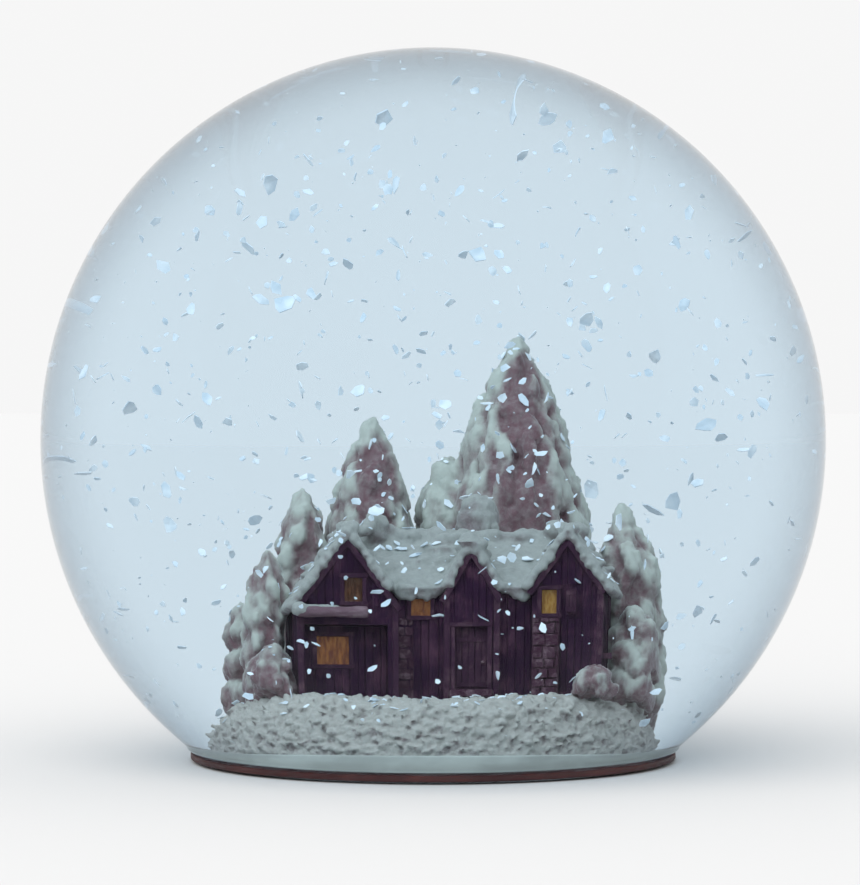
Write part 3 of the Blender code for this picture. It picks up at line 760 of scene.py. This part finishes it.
def makeShrub(node, settings):
    low, high = corners(node)
    centre, half = (low + high) / 2, (high - low) / 2
    rand = random.Random(settings["seed"])
    shape = bmesh.new()
    top = low.z + settings["top"] * 2 * half.z
    core = Vector((centre.x, centre.y, (low.z + top) / 2 - 0.3 * mm))
    lump(shape, core, Vector((half.x * 0.85, half.y * 0.85, (top - low.z) / 2)))
    for _ in range(settings["lumps"]):
        angle, rise = rand.uniform(0, 2 * math.pi), rand.uniform(0.0, 1.0)
        size = rand.uniform(*settings["clump"]) * mm
        sway = 0.9 * mm * noise.noise(Vector((settings["seed"], rise * 4.4, angle)))
        out = math.sqrt(1 - rise ** 3)
        lump(shape, Vector((centre.x + out * math.cos(angle) * half.x * 0.85 + sway,
                            centre.y + out * math.sin(angle) * half.y * 0.85,
                            low.z + rise * (top - low.z - size * 0.7))),
             (size, size, size * rand.uniform(0.9, 1.3)))
    mesh = remeshed(node + "_boughs", shape, firSkin["voxel"], firSkin["smooth"])

    # painted shade: darker towards the middle of the shrub, on top of an even darker tone (patch)
    def paintedShade(point, normal):
        away = point - centre
        share = math.hypot(away.x / half.x, away.y / half.y, away.z / half.z)
        return 1.2 * max(0.0, 0.9 - share) + settings["patch"]

    weather(mesh, firSkin["depth"], firSkin["size"], firSkin["fine"], firSkin["fineSize"], paintedShade,
            firSkin["tall"])
    keepIn(mesh)
    addPiece(node + "_boughs", mesh, snow["fir_snow"], globeBody, [node])


for node, settings in firSettings.items():
    makeFir(node, settings)
for node, settings in shrubSettings.items():
    makeShrub(node, settings)
print("firs and shrubs made")

# the cottage: boards, posts, frames and stones over the cast walls


def plank(shape, centre, across, out, size, rand, jitter=0.03 * mm):
    # one rough-cut board: size is (along across, thickness along out, height)
    frameAxes = Matrix((across, out, across.cross(out))).transposed()
    matrix = Matrix.Translation(centre) @ frameAxes.to_4x4() @ Matrix.Diagonal((*size, 1))
    made = bmesh.ops.create_cube(shape, size=1.0, matrix=matrix)["verts"]
    for vert in made:
        vert.co += Vector([rand.uniform(-1, 1) * jitter for _ in range(3)])
    return made


def finishBoards(name, shape, finish, nodes=(), rounding=0.06 * mm):
    bmesh.ops.bevel(shape, geom=shape.edges[:], offset=rounding, segments=2, affect="EDGES", profile=0.6)
    bmesh.ops.recalc_face_normals(shape, faces=shape.faces)
    return addPiece(name, meshFrom(name, shape), finish, globeBody, nodes)


def gaps(low, high, holes, middle):          # the stretches of a board that miss the openings
    cuts = sorted((bottom, top) for left, right, bottom, top in holes if left < middle < right)
    runs, start = [], low
    for bottom, top in cuts:
        if bottom > start:
            runs.append((start, min(bottom, high)))
        start = max(start, top)
    if start < high:
        runs.append((start, high))
    return [(a, b) for a, b in runs if b - a > 0.25 * mm]


def clad(shape, rand, origin, across, out, width, topAt, holes=(), board=0.85 * mm, thick=0.24 * mm):
    # upright boards side by side over a wall; holes are (left, right, bottom, top) from the origin
    at = 0.0
    while at < width - 0.15 * mm:
        wide = min(board * rand.uniform(0.75, 1.25), width - at)
        middle = at + wide / 2
        for bottom, top in gaps(0.0, min(topAt(at), topAt(at + wide)), holes, middle):
            height = top - bottom
            proud = thick * rand.uniform(0.8, 1.25)
            centre = origin + across * middle + up * (bottom + height / 2) + out * (proud / 2 - 0.05 * mm)
            plank(shape, centre, across, out, (wide - 0.07 * mm, proud + 0.1 * mm, height), rand)
        at += wide


def openingFrom(node, origin, across, margin):
    low, high = corners(node)
    left = min((low - origin).dot(across), (high - origin).dot(across))
    right = max((low - origin).dot(across), (high - origin).dot(across))
    return (left - margin, right + margin, low.z - origin.z - margin, high.z - origin.z + margin)


boardSettings = {"seed": 41, "trim": 0.42 * mm, "trimThick": 0.45 * mm, "post": 0.62 * mm}


def makeBoards(settings):
    rand = random.Random(settings["seed"])
    shape = bmesh.new()
    trim = settings["trim"]
    foot = sceneFoot
    stones = corners("stone_facing")

    def wall(start, end, face, topAt, holes=(), bottom=None):
        origin = Vector((start, face, foot if bottom is None else bottom))
        spots = [openingFrom(node, origin, right, trim) for node in holes]
        clad(shape, rand, origin, right, front, end - start,
             lambda u: topAt(start + u) - origin.z, spots)

    def slope(name, clear=0.12):
        middle, half, face, back, eave, apex = gables[name]

        def height(x):
            return inBall(0, 0, apex - clear - abs(x / mm - middle) * (apex - eave) / half).z
        return height

    eaveZ = inBall(0, 0, hall["eave"] - 0.3).z
    logTop = corners("porch_log")[1].z
    wall(-13.3 * mm, -3.7 * mm, -11.0 * mm, slope("left"), ["loft_window"], logTop + 0.05 * mm)
    wall(-3.5 * mm, 1.1 * mm, -8.7 * mm, lambda x: eaveZ, ["hall_window"])
    wall(6.5 * mm, 9.7 * mm, -8.7 * mm, lambda x: eaveZ)
    wall(1.3 * mm, 6.3 * mm, -9.6 * mm, slope("porch"), ["front_door"])
    wall(9.9 * mm, 12.7 * mm, -10.2 * mm, slope("right"), ["right_window"], stones[1].z + 0.05 * mm)
    wall(12.7 * mm, 16.7 * mm, -10.2 * mm, slope("right"), ["window_shutter"])
    porchTop = inBall(0, 0, -18.25).z
    porchFace = corners("porch_window")[0].y - 0.3 * mm
    wall(-12.7 * mm, -4.6 * mm, porchFace, lambda x: porchTop, ["porch_window"])
    ridgeY, ridgeZ, pitch = -2.2 * mm, inBall(0, 0, hall["ridge"] - 0.15).z, 0.74
    clad(shape, rand, Vector((13.0 * mm, -2.1 * mm, foot)), back, right, 6.3 * mm,
         lambda u: ridgeZ - abs(-2.1 * mm + u - ridgeY) * pitch - foot)
    clad(shape, rand, Vector((12.9 * mm, 4.3 * mm, foot)), left, back, 16.4 * mm,
         lambda u: eaveZ - foot - 0.1 * mm)
    clad(shape, rand, Vector((-3.7 * mm, 4.3 * mm, foot)), left, back, 9.6 * mm,
         lambda u: slope("left")(-3.7 * mm - u) - foot)
    clad(shape, rand, Vector((-13.4 * mm, 4.2 * mm, foot)), front, left, 15.1 * mm,
         lambda u: inBall(0, 0, -16.5).z - foot)
    clad(shape, rand, Vector((16.8 * mm, -10.1 * mm, foot)), back, right, 7.8 * mm,
         lambda u: inBall(0, 0, -14.8).z - foot)
    clad(shape, rand, Vector((16.7 * mm, -2.2 * mm, foot)), left, back, 3.6 * mm,
         lambda u: slope("right")(16.7 * mm - u) - foot)
    finishBoards("wall_boards", shape, timber["dark_timber"])

    shape = bmesh.new()
    post = settings["post"]
    for x, y, top in ((-13.3, -11.1, -16.6), (-3.75, -11.1, -16.6), (1.35, -9.7, -15.6), (6.3, -9.7, -15.6),
                      (16.7, -10.3, -14.9), (-13.3, 4.3, -16.6), (-3.6, 4.4, -16.0), (13.0, 4.4, -16.0)):
        low, high = foot, inBall(0, 0, top).z
        plank(shape, Vector((x * mm, y * mm, (low + high) / 2)), right, front,
              (post, post, high - low), rand)
    for node in ("porch_window", "loft_window", "hall_window", "right_window", "front_door"):
        low, high = corners(node)
        face = low.y - 0.3 * mm
        middle, wide, tall = (low + high) / 2, high.x - low.x, high.z - low.z
        y = face - settings["trimThick"] / 2 + 0.05 * mm
        for side in (-1, 1):
            plank(shape, Vector((middle.x + side * (wide + trim) / 2, y, middle.z)), right, front,
                  (trim, settings["trimThick"], tall + trim * 1.6), rand)
            if node != "front_door" or side > 0:
                plank(shape, Vector((middle.x, y - 0.04 * mm, middle.z + side * (tall + trim) / 2)), right,
                      front, (wide + trim * 2.5, settings["trimThick"] * 1.1, trim), rand)
    for middle, half, face, rear, eave, apex in gables.values():   # boards up both verges of each gable
        lean = math.atan2(apex - eave, half)
        length = (half + 0.3) / math.cos(lean) * mm
        for side in (-1, 1):
            along = Vector((side * math.cos(lean), 0, -math.sin(lean)))
            crest = inBall(middle, face - 0.42, apex - 0.30)
            plank(shape, crest + along * length / 2, along, front, (length, 0.5 * mm, 0.62 * mm), rand)
    for x, y, z in ((17.0, -9.9, -14.7), (17.0, -9.7, -21.6)):   # beam ends that stand out past the corner
        plank(shape, inBall(x, y, z), right, front, (1.9 * mm, 0.6 * mm, 0.6 * mm), rand, 0.08 * mm)
    finishBoards("frames_and_posts", shape, timber["frame_timber"])


makeBoards(boardSettings)
bpy.data.objects["cottage_walls"].material_slots[0].material = timber["dark_timber"]
for node, look in (("porch_window", "amber_warm"), ("loft_window", "amber_dim"),
                   ("hall_window", "amber_warm"), ("right_window", "amber_bright")):
    bpy.data.objects[node].material_slots[0].material = panes[look]
print("boards and panes made")


def makeDoorAndShutter():
    rand = random.Random(43)
    for node, count in (("front_door", 5), ("window_shutter", 3)):
        low, high = corners(node)
        middle, size = (low + high) / 2, high - low
        shape = bmesh.new()
        for k in range(count):
            x = low.x + size.x * (k + 0.5) / count
            plank(shape, Vector((x, middle.y, middle.z)), right, front,
                  (size.x / count - 0.05 * mm, size.y * 0.7, size.z), rand, 0.02 * mm)
        for share in (0.18, 0.82):
            plank(shape, Vector((middle.x, low.y + 0.02 * mm, low.z + size.z * share)), right, front,
                  (size.x * 0.94, 0.2 * mm, 0.45 * mm), rand, 0.02 * mm)
        finishBoards(node + "_planks", shape, timber["frame_timber"], [node], 0.04 * mm)
    low, high = corners("front_door")
    knob = bmesh.new()
    place = Vector((high.x - 0.5 * mm, low.y - 0.12 * mm, (low.z + high.z) / 2))
    bmesh.ops.create_uvsphere(knob, u_segments=16, v_segments=10, radius=0.17 * mm,
                              matrix=Matrix.Translation(place))
    mesh = meshFrom("door_knob", knob)
    mesh.shade_smooth()
    addPiece("door_knob", mesh, timber["pale_log"], globeBody)


makeDoorAndShutter()

stoneSettings = {"seed": 47, "course": 1.15 * mm, "proud": 0.32 * mm}


def stoneCourses(shape, rand, origin, across, out, width, height):
    level = 0.0
    while level < height - 0.3 * mm:
        rise = min(stoneSettings["course"] * rand.uniform(0.7, 1.2), height - level)
        at = rand.uniform(-0.4, 0.0) * mm
        while at < width - 0.2 * mm:
            wide = rand.uniform(0.8, 1.7) * mm
            left, end = max(at, 0), min(at + wide, width)
            if end - left > 0.25 * mm:
                proud = stoneSettings["proud"] * rand.uniform(1.4, 2.3)
                size = (end - left - 0.1 * mm, proud, rise - 0.1 * mm)
                centre = origin + across * (left + end) / 2 + up * (level + rise / 2) + out * 0.02 * mm
                plank(shape, centre, across, out, size, rand, 0.09 * mm)
            at += wide
        level += rise


def makeStones():
    rand = random.Random(stoneSettings["seed"])
    low, high = corners("stone_facing")
    shape = bmesh.new()
    stoneCourses(shape, rand, low, right, front, high.x - low.x, high.z - low.z)
    corner = inBall(-3.5, -8.72, 0)
    corner.z = sceneFoot
    stoneCourses(shape, rand, corner, right, front, 1.6 * mm, 8.6 * mm)
    finishBoards("facing_stones", shape, timber["wall_stone"], (), 0.14 * mm)
    bpy.data.objects["stone_facing"].material_slots[0].material = timber["wall_stone"]
    bpy.data.objects["chimney_stack"].material_slots[0].material = timber["wall_stone"]
    low, high = corners("chimney_snow")
    middle = (low + high) / 2
    shape = bmesh.new()
    lump(shape, middle - up * 0.8 * mm, (1.75 * mm, 1.75 * mm, 1.6 * mm), None, 3)
    for k in range(6):                       # ice that hides the stack all the way down
        lump(shape, middle - up * (1.6 + 0.9 * k) * mm, (2.05 * mm, 2.05 * mm, 1.5 * mm), None, 3)
    for k in range(14):
        angle = 2.4 * k
        drop = 1.5 + 4.0 * k / 14
        lump(shape, middle + Vector((1.5 * math.cos(angle), 1.5 * math.sin(angle), -drop)) * mm,
             (rand.uniform(0.6, 0.8) * mm, rand.uniform(0.6, 0.8) * mm, rand.uniform(0.9, 1.5) * mm))
    mesh = remeshed("chimney_cap", shape, 0.16 * mm, 8)
    weather(mesh, 0.26 * mm, 1.5 * mm, 0.05 * mm, 0.5 * mm, lambda point, normal: 0.28, 1.8)
    addPiece("chimney_cap", mesh, snow["roof_snow"], globeBody, ["chimney_snow"])


makeStones()


def makeLogAndStep():
    low, high = corners("porch_log")
    middle = (low + high) / 2
    radius, length = (high.z - low.z) / 2, high.x - low.x
    shape = bmesh.new()
    rings, sides = 46, 22
    loops = []
    for i in range(rings + 1):
        along = i / rings
        round_ = min(1.0, math.sqrt(max(0.0, 1 - max(0.0, abs(along - 0.5) * 2 - 0.94) ** 2 / 0.0036)))
        loop = []
        for k in range(sides):
            angle = 2 * math.pi * k / sides
            direction = Vector((0, math.cos(angle), math.sin(angle)))
            point = Vector((low.x + length * along, 0, 0))
            grain = Vector((point.x * 0.45, direction.y * 0.5 * mm, direction.z * 0.5 * mm))
            rough = turbulence(grain, 0.5 * mm)
            reach = radius * max(round_, 0.25) * (0.92 + 0.08 * math.sin(along * 9) + 0.11 * rough)
            loop.append(shape.verts.new(Vector((point.x, middle.y, middle.z)) + direction * reach))
        loops.append(loop)
    for i in range(rings):
        for k in range(sides):
            n = (k + 1) % sides
            shape.faces.new((loops[i][k], loops[i][n], loops[i + 1][n], loops[i + 1][k]))
    shape.faces.new(loops[0][::-1])
    shape.faces.new(loops[-1])
    bmesh.ops.recalc_face_normals(shape, faces=shape.faces)
    mesh = meshFrom("log", shape)
    mesh.shade_smooth()
    addPiece("log", mesh, timber["pale_log"], globeBody, ["porch_log"])
    shape = bmesh.new()
    start = Vector((low.x, middle.y, middle.z))
    for place, radii in (((0.4, 0, 0.25), (1.0, 0.8, 0.75)), ((1.4, 0.1, 0.45), (1.1, 0.5, 0.35)),
                         ((3.2, 0.1, 0.5), (1.3, 0.45, 0.22))):
        lump(shape, start + Vector(place) * mm, Vector(radii) * mm)
    mesh = remeshed("log_snow", shape, 0.14 * mm, 2)
    weather(mesh, 0.1 * mm, 1.0 * mm)
    addPiece("log_snow", mesh, snow["roof_snow"], globeBody)
    shape = fromNode("doorstep")
    mesh = remeshed("stone_step", shape, 0.15 * mm, 2)
    weather(mesh, 0.12 * mm, 1.0 * mm, 0.03 * mm, 0.3 * mm)
    addPiece("stone_step", mesh, timber["wall_stone"], globeBody, ["doorstep"])


makeLogAndStep()
print("stones, log and step made")


# what closes the ball: stopper, ring, felt and fill plug
baseSettings = {"segments": 160, "holeSides": 48, "round": 0.35 * mm, "hole": 1.5 * mm, "access": 2.9 * mm}


def drilled(name, mesh, centre, radius, finish, body, nodes):
    # a hole up through a turned piece
    tool = bmesh.new()
    bmesh.ops.create_cone(tool, cap_ends=True, segments=baseSettings["holeSides"], radius1=radius,
                          radius2=radius, depth=30 * mm, matrix=Matrix.Translation(centre))
    drill = bpy.data.objects.new(name + "_drill", meshFrom(name + "_drill", tool))
    blank = bpy.data.objects.new(name + "_blank", mesh)
    for each in (drill, blank):
        bpy.context.scene.collection.objects.link(each)
    cut = blank.modifiers.new("drill", "BOOLEAN")
    cut.operation, cut.solver, cut.object = "DIFFERENCE", "EXACT", drill
    bpy.context.view_layer.update()
    graph = bpy.context.evaluated_depsgraph_get()
    done = bpy.data.meshes.new_from_object(blank.evaluated_get(graph))
    for each in (drill, blank):
        bpy.data.objects.remove(each)
    done.set_sharp_from_angle(angle=math.radians(35))
    return addPiece(name, done, finish, body, nodes)


def makeClosure(settings):
    segments, soft = settings["segments"], settings["round"]
    plugLow, plugHigh = corners("fill_plug")
    hole = Vector((0, (plugLow.y + plugHigh.y) / 2, 0))
    low, high = corners("rubber_stopper")
    wide = high.x
    profile = [(0, high.z)] + arc(soft, 90, 0, 6, (wide - soft, high.z - soft))
    profile += arc(soft, 0, -90, 6, (wide - soft, low.z + soft)) + [(0, low.z)]
    drilled("stopper", turned("stopper", profile, segments), hole, settings["hole"], rubber, globeBody,
            ["rubber_stopper"])

    low, high = corners("base_ring")
    wide, soft = high.x, 0.22 * mm
    bore = corners("felt_pad")[1].x + 0.4 * mm
    profile = arc(soft, 180, 90, 4, (bore + soft, high.z - soft))
    profile += arc(soft, 90, 0, 6, (wide - soft, high.z - soft))
    profile += arc(soft, 0, -90, 6, (wide - soft, low.z + soft))
    profile += arc(soft, 270, 180, 4, (bore + soft, low.z + soft))
    profile.append(profile[0])
    mesh = turned("ring", profile, segments, ring=True)
    addPiece("ring", mesh, timber["base_wood"], globeBody, ["base_ring"])

    low, high = corners("felt_pad")
    wide, edge = high.x, 0.22 * mm
    profile = [(0, high.z)] + arc(edge, 90, 0, 4, (wide - edge, high.z - edge))
    profile += arc(edge, 0, -90, 4, (wide - edge, low.z + edge)) + [(0, low.z)]
    pad = drilled("felt", turned("felt", profile, segments), hole, settings["access"], felt, globeBody,
                  ["felt_pad"])

    shaft, head, headTop = 1.2 * mm, 2.3 * mm, plugLow.z + 0.5 * mm
    profile = [(0, plugHigh.z)] + arc(0.35 * mm, 90, 20, 4, (shaft - 0.38 * mm, plugHigh.z - 0.35 * mm))
    for k in range(3):                       # sealing beads down the shaft
        z = plugHigh.z - (1.2 + k * 1.0) * mm
        profile += [(shaft - 0.12 * mm, z + 0.3 * mm), (shaft, z), (shaft - 0.12 * mm, z - 0.3 * mm)]
    profile += [(shaft - 0.1 * mm, headTop), (head - 0.12 * mm, headTop), (head, headTop - 0.12 * mm),
                (head, plugLow.z + 0.12 * mm), (head - 0.12 * mm, plugLow.z), (0, plugLow.z)]
    mesh = turned("bung", profile, 64)
    mesh.transform(Matrix.Translation(hole))
    mesh.set_sharp_from_angle(angle=math.radians(35))
    addPiece("bung", mesh, rubber, plugBody, ["fill_plug"])


makeClosure(baseSettings)
print("closure made")

# snow chips: some hang in the liquid, some have settled on the scene
flakeSettings = {"floating": 820, "specks": 460, "near": 190, "settled": 420, "seed": 60, "thick": 0.07 * mm,
                 "clearance": 1.0 * mm}


def chip(shape, rand, centre, size, turn):
    # an irregular thin flake, curled a little, closed all round
    count = rand.choice((5, 6, 6, 7, 8))
    slim = rand.uniform(0.45, 0.95)
    curl = rand.uniform(-0.22, 0.22)
    half = flakeSettings["thick"] / 2 * min(1.0, size / (0.5 * mm))
    outline = []
    for k in range(count):
        angle = 2 * math.pi * (k + rand.uniform(-0.28, 0.28)) / count
        reach = size * rand.uniform(0.62, 1.0)
        outline.append((reach * math.cos(angle), reach * slim * math.sin(angle)))
    sides = []
    for lift in (half, -half):
        ring = [shape.verts.new(centre + turn @ Vector((x, y, lift + curl * x * x / size)))
                for x, y in outline]
        sides.append((ring, shape.verts.new(centre + turn @ Vector((0, 0, lift)))))
    (upper, top), (lower, bottom) = sides
    for k in range(count):
        n = (k + 1) % count
        shape.faces.new((upper[k], upper[n], top))
        shape.faces.new((lower[n], lower[k], bottom))
        shape.faces.new((lower[k], lower[n], upper[n], upper[k]))


def randomTurn(rand):
    return (Matrix.Rotation(rand.uniform(0, 2 * math.pi), 3, "Z")
            @ Matrix.Rotation(math.acos(rand.uniform(-1, 1)), 3, "X")
            @ Matrix.Rotation(rand.uniform(0, 2 * math.pi), 3, "Z"))


def sceneReach(pieces):                      # how far the scene reaches from the axis, band by band
    reach = {}
    for piece in pieces:
        for vert in piece.data.vertices:
            band = round(vert.co.z / mm)
            reach[band] = max(reach.get(band, 0.0), math.hypot(vert.co.x, vert.co.y))
    return reach


def insideHouse(point, room):                # true within the solid cottage, or too near its faces
    place = (point - ballCentre) / mm
    room = room / mm + 0.6
    if place.z > -8:
        return False
    blocks = [(hall["left"], hall["right"], hall["front"], hall["back"])]
    blocks += [(middle - half, middle + half, front - 1.6, back)
               for middle, half, front, back, eave, apex in gables.values()]
    return any(left - room < place.x < right + room and front - room < place.y < back + room
               for left, right, front, back in blocks)


def makeFlakes(settings):
    inside = [o for o in bpy.data.objects if o.type == "MESH" and o.get("settles")]
    reach = sceneReach(inside)
    top = max(reach)
    rand = random.Random(settings["seed"])
    shape = bmesh.new()
    limit = innerRadius - 1.6 * mm
    made = 0
    while made < settings["floating"] + settings["specks"]:
        place = Vector([rand.uniform(-1, 1) * limit for _ in range(3)])
        point = ballCentre + place
        if place.length > limit or point.z < stopperTop + 1.5 * mm:
            continue
        band = round(point.z / mm)
        near = max(reach.get(b, 0.0) for b in range(band - 2, band + 3))
        speck = made >= settings["floating"]
        size = rand.uniform(0.10, 0.24) * mm if speck else (0.36 + 0.72 * rand.random() ** 2.3) * mm
        if math.hypot(point.x, point.y) < near + size + settings["clearance"] and point.z < top * mm + size:
            continue
        chip(shape, rand, point, size, randomTurn(rand))
        made += 1
    addPiece("floating_flakes", meshFrom("floating_flakes", shape), flakeFilm, liquidBody)

    points, faces = [], []
    for piece in inside:
        first = len(points)
        points += [v.co for v in piece.data.vertices]
        faces += [[first + i for i in p.vertices] for p in piece.data.polygons]
    skin = BVHTree.FromPolygons(points, faces)
    shape = bmesh.new()
    made = 0
    while made < settings["near"]:           # slack liquid between cottage and trees holds these still
        angle, out = rand.uniform(0, 2 * math.pi), 22.0 * math.sqrt(rand.random())
        point = inBall(out * math.cos(angle), out * math.sin(angle), rand.uniform(-25.0, 9.0))
        size = (0.3 + 0.5 * rand.random() ** 1.7) * mm
        limit = 22.0 * mm if point.z < inBall(0, 0, -7.5).z else 14.0 * mm
        if math.hypot(point.x, point.y) > limit or skin.find_nearest(point, size * 1.4)[0]:
            continue
        if insideHouse(point, size):
            continue
        chip(shape, rand, point, size, randomTurn(rand))
        made += 1
    addPiece("near_flakes", meshFrom("near_flakes", shape), flakeFilm, globeBody)

    shape = bmesh.new()
    start = inBall(0, 0, 12).z
    made = 0
    while made < settings["settled"]:
        angle, out = rand.uniform(0, 2 * math.pi), 21.5 * mm * math.sqrt(rand.random())
        above = Vector((out * math.cos(angle), out * math.sin(angle), start))
        point, normal = skin.ray_cast(above, -up)[:2]
        if point is None:
            continue
        tilt = up.lerp(normal, 0.8).normalized().to_track_quat("Z", "X").to_matrix()
        turn = tilt @ Matrix.Rotation(rand.uniform(0, 6.3), 3, "Z")
        turn = turn @ Matrix.Rotation(rand.uniform(-0.3, 0.3), 3, "X")
        size = (0.28 + 0.55 * rand.random() ** 1.6) * mm
        chip(shape, rand, point + normal * 0.1 * mm, size, turn)
        made += 1
    addPiece("settled_flakes", meshFrom("settled_flakes", shape), flakeFilm, globeBody)


for piece in bpy.data.objects:
    if piece.name.endswith("_boughs") or piece.name in ("ground", "roof_blanket", "chimney_cap"):
        piece["settles"] = True
makeFlakes(flakeSettings)
print("flakes made")

# floor, soft studio light and plain surroundings
studioSettings = {"pale": (0.925, 0.925, 0.925), "floor": (0.62, 0.62, 0.62), "size": 30.0,
                  "sun": 2.6, "sunSpread": 70.0, "sunTurn": (44.0, 0.0, -24.0)}


def makeStudio(settings):
    world = bpy.data.worlds.new("studio")
    world.use_nodes = True
    world.node_tree.nodes["Background"].inputs["Color"].default_value = colour(*settings["pale"])
    bpy.context.scene.world = world
    shape = bmesh.new()
    bmesh.ops.create_grid(shape, x_segments=2, y_segments=2, size=settings["size"] / 2)
    mesh = meshFrom("floor", shape)
    floor = bpy.data.objects.new("floor", mesh)
    finish = Finish("plain_floor")
    mesh.materials.append(finish.end(finish.principled({
        "Base Color": colour(*settings["floor"]), "Roughness": 0.9, "Specular IOR Level": 0.0})))
    floor.location.z = -0.02 * mm
    bpy.context.scene.collection.objects.link(floor)
    lamp = bpy.data.lights.new("soft_key", "SUN")
    lamp.energy = settings["sun"]
    lamp.angle = math.radians(settings["sunSpread"])
    key = bpy.data.objects.new("soft_key", lamp)
    key.rotation_euler = [math.radians(value) for value in settings["sunTurn"]]
    key.visible_glossy = False
    key.visible_transmission = False
    bpy.context.scene.collection.objects.link(key)
    bpy.context.scene.view_settings.view_transform = "Standard"


makeStudio(studioSettings)

print("studio made")
